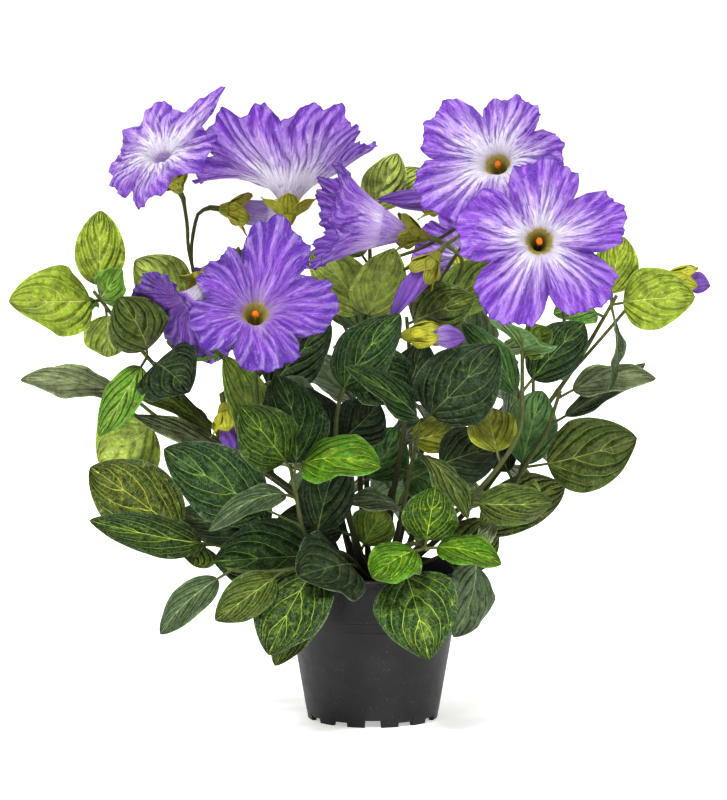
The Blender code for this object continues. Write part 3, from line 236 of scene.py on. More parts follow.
leafLook = {
    # as in the part
    "outline": (2.42, 0.55, 0.75), "fold": 0.16, "wave": 0.10, "ripples": (9.0, 1.3), "sway": 0.05,
    "foldChange": 0.8, "foldStep": 2.3, "rippleStep": 1.7, "swayStep": 4.1, "stalkJoin": 0.97,
    "stalkHalf": 0.9, "partRows": (0.14, 0.45, 0.78), "partThickness": 0.9,
    "shifts": (0, -6, 6, -12, 12, -19, 19, -27, 27), "rolls": (0, 14, -14, 30, -30),
    "sizes": (1.0, 0.86, 0.72), "changeSteps": (6, 14, 30), "samePlace": 0.02, "cornersWanted": 6,
    # finer than the part
    "rows": 28, "columns": 17, "thickness": 0.7, "thinning": 0.4, "softFold": 0.10, "tipHalf": 0.05,
    # each row of frills: how high, how many, how its own phase counts, and how its two sides differ
    "frills": ((1.9, 11.0, 1, 2.5), (0.4, 29.0, 3, 1.7)), "curl": 0.15,
    "pucker": 0.5, "puckerCurve": (0.5, 0.45), "puckerFrom": 5, "swellEnds": (4, 3),
    "stalkRadii": (1.05, 0.35), "stalkStart": 0.06, "stalkUnder": 0.35, "ribShare": 0.55,
    "stalkSides": 7, "stalkSteps": 14,
}


# Lines and places

def unit(v):
    return v / np.linalg.norm(v)


def onSight(place):
    x, z, depth = place
    return eye + (np.array((x, 0.0, z)) - eye) * ((depth - eye[1]) / -eye[1])


def alongLine(points, shares):
    # The points that lie these shares of the way along a line.
    steps = np.linalg.norm(np.diff(points, axis=0), axis=1)
    reached = np.concatenate(([0.0], np.cumsum(steps)))
    wanted = np.clip(shares, 0.0, 1.0) * reached[-1]
    return np.stack([np.interp(wanted, reached, points[:, k]) for k in range(3)], axis=-1)


def smoothLine(points, steps):
    # Points at even distances along a smooth curve through the given ones.
    points = np.array(points, float)
    ends = np.vstack((points[0] * 2 - points[1], points, points[-1] * 2 - points[-2]))
    fine = []
    for a, b, c, d in zip(ends, ends[1:], ends[2:], ends[3:]):
        for k in range(stemLook["fineness"]):
            t = k / stemLook["fineness"]
            straight = 2 * b + (c - a) * t
            bent = (2 * a - 5 * b + 4 * c - d) * t * t + (3 * b - a - 3 * c + d) * t ** 3
            fine.append((straight + bent) * 0.5)
    fine.append(points[-1])
    return alongLine(np.array(fine), np.linspace(0, 1, steps + 1))


def directionAlong(points, share):
    ahead = alongLine(points, min(1.0, share + stemLook["lookAlong"]))
    return unit(ahead - alongLine(points, share - stemLook["lookAlong"]))


def squareTo(axis, wanted):
    wanted = np.array(wanted, float)
    return unit(wanted - axis * wanted.dot(axis))


def turnedAbout(v, axis, angle):
    c, s = math.cos(angle), math.sin(angle)
    return v * c + np.cross(axis, v) * s + axis * axis.dot(v) * (1 - c)


def spokes(angles, first, second):
    # The directions at these angles in the plane of two square axes.
    return np.cos(angles)[..., None] * first + np.sin(angles)[..., None] * second


def roundAngles(count):
    return np.linspace(0, fullTurn, count, endpoint=False)


def rowsOf(x, y, z):
    # A row (x, y, z) for each point of a grid.
    return np.stack(np.broadcast_arrays(x, y, z), axis=-1).reshape(-1, 3)


def linear(hexCode):
    # An sRGB colour as linear light.
    values = [int(hexCode[k:k + 2], 16) / 255 for k in (0, 2, 4)]
    return [v / 12.92 if v <= 0.04045 else ((v + 0.055) / 1.055) ** 2.4 for v in values]


# Meshes: a bit is a dictionary of points, faces, a look number and what its surface is told

toldNames = ("place", "flat", "tint", "glow", "mark")


def gridFaces(rows, columns, start=0, wrap=False, flip=False):
    i, k = np.meshgrid(np.arange(rows - 1), np.arange(columns if wrap else columns - 1), indexing="ij")
    a = i * columns + k
    b = i * columns + (k + 1) % columns
    quads = np.stack((a, b, b + columns, a + columns), axis=-1).reshape(-1, 4) + start
    return (quads[:, ::-1] if flip else quads).tolist()


def sheetBit(top, bottom, wrap=False, **told):
    # A closed blade or cup from two grids of points (rows, columns, 3), upper side and lower side.
    rows, columns = top.shape[:2]
    count = rows * columns
    faces = gridFaces(rows, columns, wrap=wrap) + gridFaces(rows, columns, count, wrap, True)
    edges = [(row * columns + np.arange(columns + wrap) % columns, turned)
             for row, turned in ((0, True), (rows - 1, False))]
    if not wrap:
        edges += [(np.arange(rows) * columns + column, turned)
                  for column, turned in ((0, False), (columns - 1, True))]
    for edge, turned in edges:
        for a, b in zip(edge.tolist(), edge.tolist()[1:]):
            faces.append((b, a, a + count, b + count) if turned else (a, b, b + count, a + count))
    return dict(points=np.concatenate((top.reshape(-1, 3), bottom.reshape(-1, 3))), faces=faces,
                look=0, **told)


def skinBit(points, **told):
    # A closed skin from a grid of points that goes round, capped at both ends.
    rows, columns = points.shape[:2]
    faces = gridFaces(rows, columns, wrap=True, flip=True)
    faces.append(list(range(columns)))
    faces.append(list(range((rows - 1) * columns, rows * columns))[::-1])
    return dict(points=points.reshape(-1, 3), faces=faces, look=0, **told)


def tubeBit(line, radii, sides, look=0, capStart=False, **told):
    # A round tube along a line of points, closed at its end.
    line = np.array(line)
    ways = np.gradient(line, axis=0)
    ways /= np.linalg.norm(ways, axis=1)[:, None]
    across = squareTo(ways[0], (0.3, 0.2, 1.0) if abs(ways[0][2]) < 0.9 else (1.0, 0.2, 0.1))
    rings = []
    for point, way, radius in zip(line, ways, np.broadcast_to(radii, len(line))):
        across = squareTo(way, across)
        rings.append(point + radius * spokes(roundAngles(sides), across, np.cross(way, across)))
    faces = gridFaces(len(line), sides, wrap=True)
    faces.append(list(range((len(line) - 1) * sides, len(line) * sides)))
    if capStart:
        faces.append(list(range(sides))[::-1])
    return dict(points=np.concatenate(rings), faces=faces, look=look, **told)


def slotOf(node):
    return next(s["material_slot"] for s in frame["record"]["subparts"] if s["node"] == node)


def makePiece(name, bits, looks, node, sharp=50):
    # One mesh object from bits, with what each bit's points are told kept as attributes.
    points, faces, lookOf, told = [], [], [], {key: [] for key in toldNames}
    start = 0
    for bit in bits:
        count = len(bit["points"])
        points.append(bit["points"])
        faces += [[index + start for index in face] for face in bit["faces"]]
        lookOf += [bit["look"]] * len(bit["faces"])
        for key in toldNames:
            told[key].append(np.broadcast_to(bit.get(key, (0.0, 0.0, 0.0)), (count, 3)))
        start += count
    mesh = bpy.data.meshes.new(name)
    mesh.from_pydata((np.concatenate(points) * mm).tolist(), [], faces)
    for key in toldNames:
        layer = mesh.attributes.new(key, "FLOAT_VECTOR", "POINT")
        layer.data.foreach_set("vector", np.concatenate(told[key]).astype(np.float32).ravel())
    for look in looks:
        mesh.materials.append(look)
    mesh.polygons.foreach_set("material_index", lookOf)
    mesh.shade_smooth()
    mesh.set_sharp_from_angle(angle=math.radians(sharp))
    mesh.update()
    piece = bpy.data.objects.new(name, mesh)
    bpy.context.scene.collection.objects.link(piece)
    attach(piece, "root")
    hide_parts(node)
    slotOf(node)
    return piece


# Shader helpers

class Wire:
    # What a socket gives out. Sums and products of wires add the Math nodes for them.
    def __init__(self, tree, socket):
        self.tree = tree
        self.socket = socket

    def __add__(self, other):
        return calc("ADD", self, other)

    def __mul__(self, other):
        return calc("MULTIPLY", self, other)

    def __sub__(self, other):
        return calc("SUBTRACT", self, other)

    def __rsub__(self, other):
        return calc("SUBTRACT", other, self)

    def __truediv__(self, other):
        return calc("DIVIDE", self, other)

    def __abs__(self):
        return calc("ABSOLUTE", self)


def addNode(tree, kind, inputs=None, **settings):
    node = tree.nodes.new("ShaderNode" + kind)
    for key, value in settings.items():
        setattr(node, key, value)
    for socket, value in (inputs or {}).items():
        if isinstance(value, Wire):
            tree.links.new(value.socket, node.inputs[socket])
        else:
            node.inputs[socket].default_value = value
    return node


def wired(kind, output, inputs, **settings):
    # A node in the tree that its inputs come from, and one of its outputs.
    tree = next(value.tree for value in inputs.values() if isinstance(value, Wire))
    return Wire(tree, addNode(tree, kind, inputs, **settings).outputs[output])


def calc(operation, *values):
    return wired("Math", 0, dict(enumerate(values)), operation=operation)


def ramped(value, low, high):
    # 0 below low, 1 above high, and smooth between.
    return wired("MapRange", "Result", {"Value": value, "From Min": low, "From Max": high},
                 interpolation_type="SMOOTHSTEP")


def colour(hexCode):
    return (*linear(hexCode), 1.0)


def blend(share, a, b):
    # From a to b by this share. A colour is a wire or a hex code.
    a, b = (colour(value) if isinstance(value, str) else value for value in (a, b))
    return wired("Mix", 2, {0: share, 6: a, 7: b}, data_type="RGBA")


def scaled(vector, scale):
    return wired("VectorMath", 0, {0: vector, 1: scale}, operation="MULTIPLY")


def split(vector):
    x = wired("SeparateXYZ", 0, {0: vector})
    return [Wire(x.tree, socket) for socket in x.socket.node.outputs]


def noise(vector, scale, detail=3.0, roughness=0.55, distortion=0.0):
    return wired("TexNoise", "Fac", {"Vector": vector, "Scale": scale, "Detail": detail,
                                     "Roughness": roughness, "Distortion": distortion})


def wandering(vector, scale, reach):
    # The place, moved a little to and fro by slow noise.
    aside = scaled(wired("TexNoise", "Color", {"Vector": vector, "Scale": scale, "Detail": 2.0}), reach)
    return wired("VectorMath", 0, {0: vector, 1: aside}, operation="ADD")


def told(tree, name):
    return Wire(tree, addNode(tree, "Attribute", attribute_name=name).outputs["Vector"])


def objectPlace(tree):
    return Wire(tree, addNode(tree, "TexCoord").outputs["Object"])


def newGroup(name, output, **inputs):
    # A node group with a vector and these numbers as inputs, and one value as output.
    group = bpy.data.node_groups.new(name, "ShaderNodeTree")
    group.interface.new_socket("Vector", in_out="INPUT", socket_type="NodeSocketVector")
    for key, value in inputs.items():
        made = group.interface.new_socket(key, in_out="INPUT", socket_type="NodeSocketFloat")
        made.default_value = value
    group.interface.new_socket(output, in_out="OUTPUT", socket_type="NodeSocketFloat")
    given = group.nodes.new("NodeGroupInput").outputs
    return group, [Wire(group, given[key]) for key in ("Vector", *inputs)]


def giveOut(group, value):
    group.links.new(value.socket, group.nodes.new("NodeGroupOutput").inputs[0])
    return group


def weaveGroup():
    # Fine cloth: two crossing threads, a little uneven. Height only.
    group, (place, threads) = newGroup("clothWeave", "Height", Threads=1500.0)
    x, y, z = split(place)
    cross = calc("SINE", (x + z) * threads) + calc("SINE", (x - z) * threads)
    return giveOut(group, cross * 0.25 + noise(place, 900.0, 2.0))


def patchGroup():
    # Soft uneven patches from 0 to 1.
    group, (place, scale, low, high) = newGroup("softPatches", "Mask", Scale=60.0, Low=0.35, High=0.65)
    return giveOut(group, ramped(noise(place, scale, 4.0, 0.6), low, high))


clothWeave = weaveGroup()
softPatches = patchGroup()


def patches(vector, scale, low=0.35, high=0.65):
    return wired("Group", "Mask", {"Vector": vector, "Scale": scale, "Low": low, "High": high},
                 node_tree=softPatches)


def weave(vector, threads):
    return wired("Group", "Height", {"Vector": vector, "Threads": threads}, node_tree=clothWeave)


def newLook(name, roughness, specular=0.3, **sockets):
    look = bpy.data.materials.new(name)
    look.use_nodes = True
    shader = look.node_tree.nodes["Principled BSDF"]
    shader.inputs["Roughness"].default_value = roughness
    shader.inputs["Specular IOR Level"].default_value = specular
    for key, value in sockets.items():
        shader.inputs[key.replace("_", " ")].default_value = value
    return look, look.node_tree


def finished(look, height, strength, distance, **sockets):
    # Feeds the shader its colour and whatever else changes over the surface, and a bump (metres).
    shader = look.node_tree.nodes["Principled BSDF"]
    sockets["Normal"] = wired("Bump", "Normal", {"Height": height, "Strength": strength,
                                                 "Distance": distance})
    for key, value in sockets.items():
        look.node_tree.links.new(value.socket, shader.inputs[key.replace("_", " ")])
    return look


# Leaf and stem looks

veinLook = {
    "count": 3.3, "curve": (0.46, 0.52), "wobble": 0.05, "veinEnds": (0.72, 0.97),
    "vein": (0.90, 0.975), "softVein": (0.1, 1.0), "midrib": 0.055, "midribThins": 0.75,
    "nets": ((3.1, 0.07), (7.5, 0.12)), "netWander": (0.22, 0.22, 0.0),  # cells a centimetre, and line
    "light": (1.15, 1.12, 1.0), "dark": (0.45, 0.48, 0.42), "mottle": 6.5,
    "underside": "8FA487", "undersideShare": 0.38, "margin": "B9C7A4", "threads": 1900.0,
}


def makeLeafCloth():
    own = veinLook
    look, tree = newLook("leafCloth", 0.4, 0.38)
    along, across, side = split(told(tree, "place"))
    flat, tint, glow = (told(tree, name) for name in ("flat", "tint", "glow"))
    strength = split(told(tree, "mark"))[0]
    away = abs(across)
    # The side veins leave the midrib and curve up towards the tip.
    first, second = own["curve"]
    wobble = noise(flat, 1.1, 2.0) * (own["wobble"] * 2) - own["wobble"]
    lane = (along - away * (away * second + first) + wobble) * own["count"] + 10.0
    near = abs(calc("FRACT", lane) * 2.0 - 1.0)
    inside = 1.0 - ramped(away, *own["veinEnds"])
    sideVein = ramped(near, *own["vein"]) * inside
    between = 1.0 - ramped(near, *own["softVein"]) * inside
    ribWidth = along * (-own["midrib"] * own["midribThins"]) + own["midrib"]
    rib = 1.0 - ramped(abs(split(flat)[1]) / ribWidth, 0.5, 1.1)
    bent = wandering(flat, 2.2, own["netWander"])
    nets = [1.0 - ramped(wired("TexVoronoi", "Distance", {"Vector": bent, "Scale": scale},
                               feature="DISTANCE_TO_EDGE"), 0.01, width) for scale, width in own["nets"]]
    net = calc("MAXIMUM", nets[0], nets[1] * 0.5)
    # Colour: a printed blade, darker in patches, brighter in blotches beside its midrib.
    dark = scaled(tint, own["dark"])
    base = blend(patches(flat, 1.1, 0.40, 0.64), scaled(tint, own["light"]), dark)
    base = blend(patches(bent, own["mottle"], 0.40, 0.60) * 0.42, base, dark)
    blotch = calc("POWER", 1.0 - away, 1.6) * patches(flat, 1.9, 0.44, 0.66) * 0.26
    netShare = net * (patches(flat, 1.5, 0.3, 0.7) * 0.34 + 0.12)
    broken = sideVein * (patches(flat, 1.7, 0.22, 0.60) * 0.70 + 0.34)
    for share in (blotch * strength, netShare * strength, broken * strength,
                  rib * (strength * 0.45 + 0.50)):
        base = blend(share, base, glow)
    # Painted shade: the cells between the side veins are darkened a little, as shade in the quilted cloth.
    base = blend(between * 0.12, base, dark)
    edge = ramped(away, 0.965, 0.995) * patches(flat, 0.8) * 0.30
    base = blend(edge, base, own["margin"])
    base = blend(side, blend(own["undersideShare"], base, own["underside"]), base)
    height = between * 1.3 - calc("MAXIMUM", sideVein, rib) * 0.6 - net * 0.12
    height = height + weave(objectPlace(tree), own["threads"]) * 0.025 + noise(flat, 1.5, 4.0) * 2.2
    return finished(look, height, 1.0, 0.0023, Base_Color=base,
                    Roughness=patches(flat, 2.6) * 0.16 + 0.30)


def makeStemCoat():
    look, tree = newLook("stemCoat", 0.6, 0.3)
    place = objectPlace(tree)
    base = blend(split(told(tree, "place"))[0], stemLook["old"], stemLook["young"])
    base = blend(patches(place, 220.0) * 0.55, base, stemLook["bark"])
    ridges = noise(scaled(place, (1.0, 1.0, 0.16)), 1100.0, 2.0)
    return finished(look, ridges, 0.5, 0.0004, Base_Color=base)


# Petal, calyx and pistil looks

petalLook = {
    "white": "EFE8FB", "lilac": "BD9EE0", "violet": "8850C2", "deep": "48228A", "fold": "3F1C80",
    "throat": "B9A95A", "well": "7C702C", "cream": "F0E6C4", "threads": 2100.0,
    # streaks over the petals: their scale round, round and outwards, detail, roughness, distortion
    "wide": ((6.0, 6.0, 2.6), 3.0, 0.6, 0.5), "fine": ((19.0, 19.0, 3.2), 4.0, 0.62, 0.8),
    "hair": ((40.0, 40.0, 4.6), 2.0, 0.6, 0.9), "crumple": ((5.0, 5.0, 5.0), 5.0, 0.65, 0.6),
    "wander": (0.10, 0.10, 0.0),
}
calyxLook = {
    "leafy": "B4B034", "patch": "8C932C", "rib": "C9C656", "tip": "6E7224", "blotch": "8A9030",
    "worn": "4E4C22", "ribs": 7.5, "threads": 1900.0,
}
pistilLook = {"style": "A9A24C", "head": "F28A14", "pollen": "C95E08"}


def makePetalCloth():
    own = petalLook
    look, tree = newLook("petalCloth", 0.62, 0.2, Sheen_Weight=0.1, Emission_Strength=0.16)
    out, turn, side = split(told(tree, "place"))
    ring = wandering(told(tree, "flat"), 3.4, own["wander"])  # cosine, sine, and how far out
    shift, pale = split(told(tree, "tint"))[:2]
    fold, violetTube, plain = split(told(tree, "glow"))
    wide, fine, hair, crumple = (noise(scaled(ring, own[key][0]), 1.0, *own[key][1:])
                                 for key in ("wide", "fine", "hair", "crumple"))
    lobe = calc("COSINE", turn * fullTurn)
    violet = lobe * -0.05 + out + shift + (wide - 0.5) * 0.50 + (fine - 0.5) * 0.62
    base = blend(ramped(violet, 0.08, 0.40), own["white"], own["lilac"])
    base = blend(ramped(violet, 0.36, 0.76), base, own["violet"])
    base = blend(ramped(violet, 0.95, 1.35) * 0.6, base, own["deep"])
    outside = ramped(out, 0.03, 0.30)
    for mask, share, key in (
            # fine dark veins that run out from the throat, and paler creases beside them
            (ramped(fine, 0.555, 0.61), 0.55, "deep"), (ramped(hair, 0.56, 0.62), 0.36, "deep"),
            (1.0 - ramped(hair, 0.36, 0.45), 0.15, "white"),
            (1.0 - ramped(crumple, 0.30, 0.46), 0.35, "lilac"),
            # painted shade in the valleys of the folds, and a painted highlight on their ridges
            (ramped(fold * -1.0, 0.10, 0.85), 0.55, "deep"), (ramped(fold, 0.15, 0.9), 0.13, "white")):
        base = blend(mask * outside * share, base, own[key])
    base = blend(ramped(out, 0.975, 0.997) * 0.6, base, own["fold"])
    # The throat: olive inside the tube, cream to lilac outside.
    inTube = 1.0 - ramped(fine * 0.14 + out, 0.02, 0.13)
    well = blend(ramped(out, -0.75, -0.05), own["well"], own["throat"])
    well = blend(ramped(fine, 0.52, 0.60) * 0.5, well, own["well"])
    well = blend(plain, well, own["lilac"])
    tube = blend(ramped(out, -1.0, -0.2), own["cream"], own["white"])
    tube = blend(ramped(fine, 0.46, 0.62) * 0.5, tube, own["violet"])
    tube = blend(violetTube, tube, blend(ramped(wide, 0.35, 0.65), own["violet"], own["lilac"]))
    base = blend(inTube, base, blend(side, tube, well))
    base = blend(pale, base, own["lilac"])
    # Painted light: an emission makes the tube's inside and the petals' outer sides glow a little in their
    # own colours.
    glow = blend(side, base, blend(inTube * side, "000000", well))
    height = fine * 1.2 + wide + hair * 0.4 + crumple * 1.2 + weave(objectPlace(tree), own["threads"]) * 0.04
    return finished(look, height, 0.95, 0.0026, Base_Color=base, Emission_Color=glow)


def makeCalyxCloth():
    own = calyxLook
    look, tree = newLook("calyxCloth", 0.58, 0.25)
    along, across = split(told(tree, "place"))[:2]
    place = objectPlace(tree)
    rib = abs(calc("SINE", across * own["ribs"]))
    base = blend(patches(place, 260.0, 0.35, 0.7), own["leafy"], own["patch"])
    for share, key in ((ramped(rib, 0.55, 1.0) * 0.35, "rib"), (ramped(along, 0.75, 1.0) * 0.35, "tip"),
                       (patches(place, 90.0, 0.4, 0.7) * 0.45, "blotch"),
                       (split(told(tree, "tint"))[0] * 0.8, "worn")):
        base = blend(share, base, own[key])
    height = weave(place, own["threads"]) * 0.12 + rib + noise(place, 260.0, 3.0) * 2.5
    return finished(look, height, 0.7, 0.0009, Base_Color=base)


def makePistilMatter():
    look, tree = newLook("pistilMatter", 0.55, 0.3)
    place = objectPlace(tree)
    orange = blend(patches(place, 500.0, 0.3, 0.7), pistilLook["head"], pistilLook["pollen"])
    base = blend(split(told(tree, "place"))[0], pistilLook["style"], orange)
    return finished(look, noise(place, 1800.0, 2.0), 0.8, 0.0008, Base_Color=base)


leafCloth = makeLeafCloth()
stemCoat = makeStemCoat()
petalCloth = makePetalCloth()
calyxCloth = makeCalyxCloth()
pistilMatter = makePistilMatter()
print("cloth, stem and petal looks made")


# Leaves

def bladeWidth(share):
    factor, foot, tip = leafLook["outline"]
    share = np.clip(share, 0.0, 1.0)
    return factor * share ** foot * (1.0 - share) ** tip


def leafShape(leaf, shift, roll, size):
    # A leaf as it grew in the part: moved along its sight line, turned about its length, and scaled.
    look = leafLook
    tip = leaf["tip"] + unit(leaf["tip"] - eye) * shift
    way = (tip - leaf["start"]) * size
    along = unit(way)
    out = turnedAbout(squareTo(along, leaf["looks"]), along, math.radians(roll))
    number = leaf["number"]
    return {
        "start": leaf["start"], "along": along, "out": out, "side": np.cross(along, out),
        "length": np.linalg.norm(way), "half": leaf["width"] * size / 2, "arch": leaf["arch"],
        "stalk": leaf["stalk"], "phase": look["rippleStep"] * number, "number": number,
        "fold": look["fold"] * (1 + look["foldChange"] * math.sin(look["foldStep"] * number)),
        "sway": look["sway"] * math.sin(look["swayStep"] * number),
    }


def fineRise(shape, share, v, half, away):
    # Frills at the edge, a curl, and cloth that stands up between the veins.
    look = leafLook
    own = shape["phase"] * 2.1 + shape["half"]
    foot, tip = look["swellEnds"]
    swell = np.clip(share * foot, 0, 1) * np.clip((1 - share) * tip, 0, 1)
    frills = sum(high * np.sin(count * share + own * times + apart * np.sign(v))
                 for high, count, times, apart in look["frills"])
    curl = half * look["curl"] * v ** 4 * (0.6 + 0.4 * np.sin(own * 5))
    first, second = look["puckerCurve"]
    lane = np.cos(fullTurn * veinLook["count"] * (share - away * (first + second * away)))
    pucker = look["pucker"] * lane * swell * (1 - away ** 4) * np.clip(away * look["puckerFrom"], 0, 1)
    return frills * np.abs(v) ** 3 * swell - curl - pucker


def leafPoints(shape, t, v, fine=False):
    # Points at these shares of the leaf's length, this far from its midrib (-1 to 1).
    look = leafLook
    share = (t - shape["stalk"]) / (1 - shape["stalk"])
    half = np.maximum(look["stalkHalf"], shape["half"] * bladeWidth(share))
    bow = 4 * t * (1 - t)
    ripple = np.sin(look["ripples"][0] * t + shape["phase"] + look["ripples"][1] * v)
    away = np.abs(v)
    if fine:
        half = np.where(share > 0.995, look["tipHalf"], half)
        away = np.sqrt(v * v + look["softFold"] ** 2) - look["softFold"]
    rise = shape["arch"] * shape["length"] * bow
    rise = rise + half * (shape["fold"] * away + look["wave"] * v * v * ripple)
    if fine:
        rise = rise + fineRise(shape, share, v, half, away)
    across = half * v + shape["sway"] * shape["length"] * bow
    return (shape["start"] + shape["along"] * (shape["length"] * t)[..., None]
            + shape["out"] * rise[..., None] + shape["side"] * across[..., None])


def leafFacing(shape, t):
    slope = np.asarray(shape["arch"] * 4 * (1 - 2 * t))
    facing = shape["out"] - shape["along"] * slope[..., None]
    return facing / np.linalg.norm(facing, axis=-1)[..., None]


def leafChoices():
    # The ways a leaf could turn aside as it grew, the smallest change first.
    look = leafLook
    choices = [(shift, roll, size) for size in look["sizes"] for shift in look["shifts"]
               for roll in look["rolls"]]
    aside, turn, shrink = look["changeSteps"]
    return sorted(choices, key=lambda c: abs(c[0]) / aside + abs(c[1]) / turn + (1 - c[2]) * shrink)


def asGrown(leaf, tree, choices):
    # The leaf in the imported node: the choice whose corners the node's mesh has.
    look = leafLook
    best = None
    most = look["cornersWanted"]
    for choice in choices:
        shape = leafShape(leaf, *choice)
        rows = np.array([shape["stalk"] + (1 - shape["stalk"]) * u for u in look["partRows"]])
        t, v = np.meshgrid(rows, (-1.0, 0.0, 1.0), indexing="ij")
        middle = leafPoints(shape, t, v)
        facing = leafFacing(shape, t) * look["partThickness"] / 2
        corners = np.concatenate((middle + facing, middle - facing)).reshape(-1, 3)
        found = sum(tree.find(corner)[2] < look["samePlace"] for corner in corners)
        if found > most:
            best, most = shape, found
        if found == len(corners):
            break
    return best


def leafBits(shape, stemPoint, tintName):
    look = leafLook
    blade, glow = (linear(code) for code in leafTints[tintName][:2])
    share = np.linspace(0, 1, look["rows"])
    share = 0.5 * (0.5 - 0.5 * np.cos(math.pi * share)) + 0.5 * share  # closer together at both ends
    t, v = np.meshgrid(shape["stalk"] + (1 - shape["stalk"]) * share,
                       np.linspace(-1, 1, look["columns"]), indexing="ij")
    middle = leafPoints(shape, t, v, True)
    thick = look["thickness"] / 2 * (1 - look["thinning"] * v * v)[..., None]
    facing = leafFacing(shape, t)
    share = share[:, None]
    flat = rowsOf(t * shape["length"] / 10, v * shape["half"] * bladeWidth(share) / 10,
                  shape["number"] * 7.3)  # centimetres, and a number of its own
    sheet = sheetBit(middle + facing * thick, middle - facing * thick,
                     place=np.concatenate([rowsOf(share, v, side) for side in (1.0, 0.0)]),
                     flat=np.concatenate((flat, flat)), tint=blade, glow=glow,
                     mark=(leafTints[tintName][2], 0.0, 0.0))
    # The stalk, which runs on under the blade as its midrib.
    end = shape["stalk"] + (1 - shape["stalk"]) * look["ribShare"]
    t = np.linspace(look["stalkStart"], end, look["stalkSteps"])
    line = leafPoints(shape, t, 0 * t, True) - leafFacing(shape, t) * look["stalkUnder"]
    stalk = tubeBit(np.vstack((stemPoint, line)), np.linspace(*look["stalkRadii"], len(t) + 1),
                    look["stalkSides"], 1, place=(stemLook["stalkAge"], 0.0, 0.0))
    return [sheet, stalk]


# Sprays

def frontSpray(name):
    x, y = sprays[name]["root"]
    foot = np.array((x, y, stemLook["soilTop"] + stemLook["rootStraight"]))
    points = [foot] + [onSight(place) for place in sprays[name]["path"]]
    line = smoothLine(points, stemLook["partSteps"])
    leaves = []
    for number, (share, x, z, depth, width, tint, *rest) in enumerate(sprays[name]["leaves"]):
        looks, arch, stalk = rest + usualLeaf[len(rest):]
        share = min(share, leafLook["stalkJoin"])
        leaves.append({
            "share": share, "start": alongLine(line, share), "tip": onSight((x, z, depth)),
            "width": width, "looks": facings[looks], "arch": arch, "tint": tint, "number": number,
            "stalk": stalk,
        })
    return line, smoothLine(points, stemLook["steps"]), leaves


def backSpray(name, draw):
    look = backLook
    lean, reach, height, root = backSprays[name]
    away = np.array((math.cos(math.radians(lean)), math.sin(math.radians(lean)), 0.0))
    foot = np.array((*root, stemLook["soilTop"] + stemLook["rootStraight"]))
    top = away * (reach - look["tipLength"]) + up * height
    knee = (foot + top) / 2 + up * look["kneeRise"] - away * look["kneeSet"]
    line = smoothLine([foot, knee, top], stemLook["partSteps"])
    leaves = []
    for number, (share, length, width, turn) in enumerate(look["leaves"]):
        start = alongLine(line, share)
        onward = directionAlong(line, share)
        turned = math.radians(turn + draw.uniform(-look["turnSpread"], look["turnSpread"]))
        around = turnedAbout(unit(np.cross(onward, up)), onward, turned)
        way = onward * look["onward"] + around - up * look["droop"]
        leaves.append({
            "share": share, "start": start, "width": width, "number": number, "stalk": usualLeaf[2],
            "tip": start + unit(way) * length * draw.uniform(*look["lengthSpread"]),
            "looks": away * look["looks"][0] + up * look["looks"][1],
            "arch": draw.uniform(*look["arch"]),
            "tint": look["tints"][(number + lean) % len(look["tints"])],
        })
    return line, smoothLine([foot, knee, top], stemLook["steps"]), leaves


def stemBit(fineLine):
    look = stemLook
    shares = np.linspace(0, 1, len(fineLine))
    thick, thin = look["radii"]
    # A slight swelling at each joint of the stem.
    toJoint = np.abs((shares / look["jointEvery"] + 0.5) % 1.0 - 0.5) * look["jointEvery"]
    swell = 1 + look["jointSwell"] * np.exp(-(toJoint / look["jointLength"]) ** 2)
    radii = (thick + (thin - thick) * shares) * swell
    root = fineLine[0] - up * (look["rootDepth"] + look["rootStraight"])
    age = np.repeat(np.concatenate(([0.0], shares)) ** look["greening"], look["sides"])
    return tubeBit(np.vstack((root, fineLine)), np.concatenate(([thick], radii)), look["sides"], 1, True,
                   place=rowsOf(age, 0.0, 0.0))


def nodeTree(node):
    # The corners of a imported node, for finding the nearest.
    mesh = frame["nodes"][node].data
    tree = KDTree(len(mesh.vertices))
    for number, corner in enumerate(mesh.vertices):
        tree.insert(corner.co / mm, number)
    tree.balance()
    return tree


def growSprays():
    draw = random.Random(backLook["seed"])
    choices = leafChoices()
    lines = {}
    missing = 0
    for name in [*sprays, *backSprays]:
        line, fineLine, leaves = frontSpray(name) if name in sprays else backSpray(name, draw)
        lines[name] = line
        tree = nodeTree(name)
        bits = [stemBit(fineLine)]
        for leaf in leaves:
            shape = asGrown(leaf, tree, choices)
            if shape is None:
                missing += 1
            else:
                bits += leafBits(shape, alongLine(fineLine, leaf["share"]), leaf["tint"])
        makePiece(name + "_leaves", bits, [leafCloth, stemCoat], name)
    print("sprays grown, leaves not found in the part:", missing)
    return lines


stemLines = growSprays()


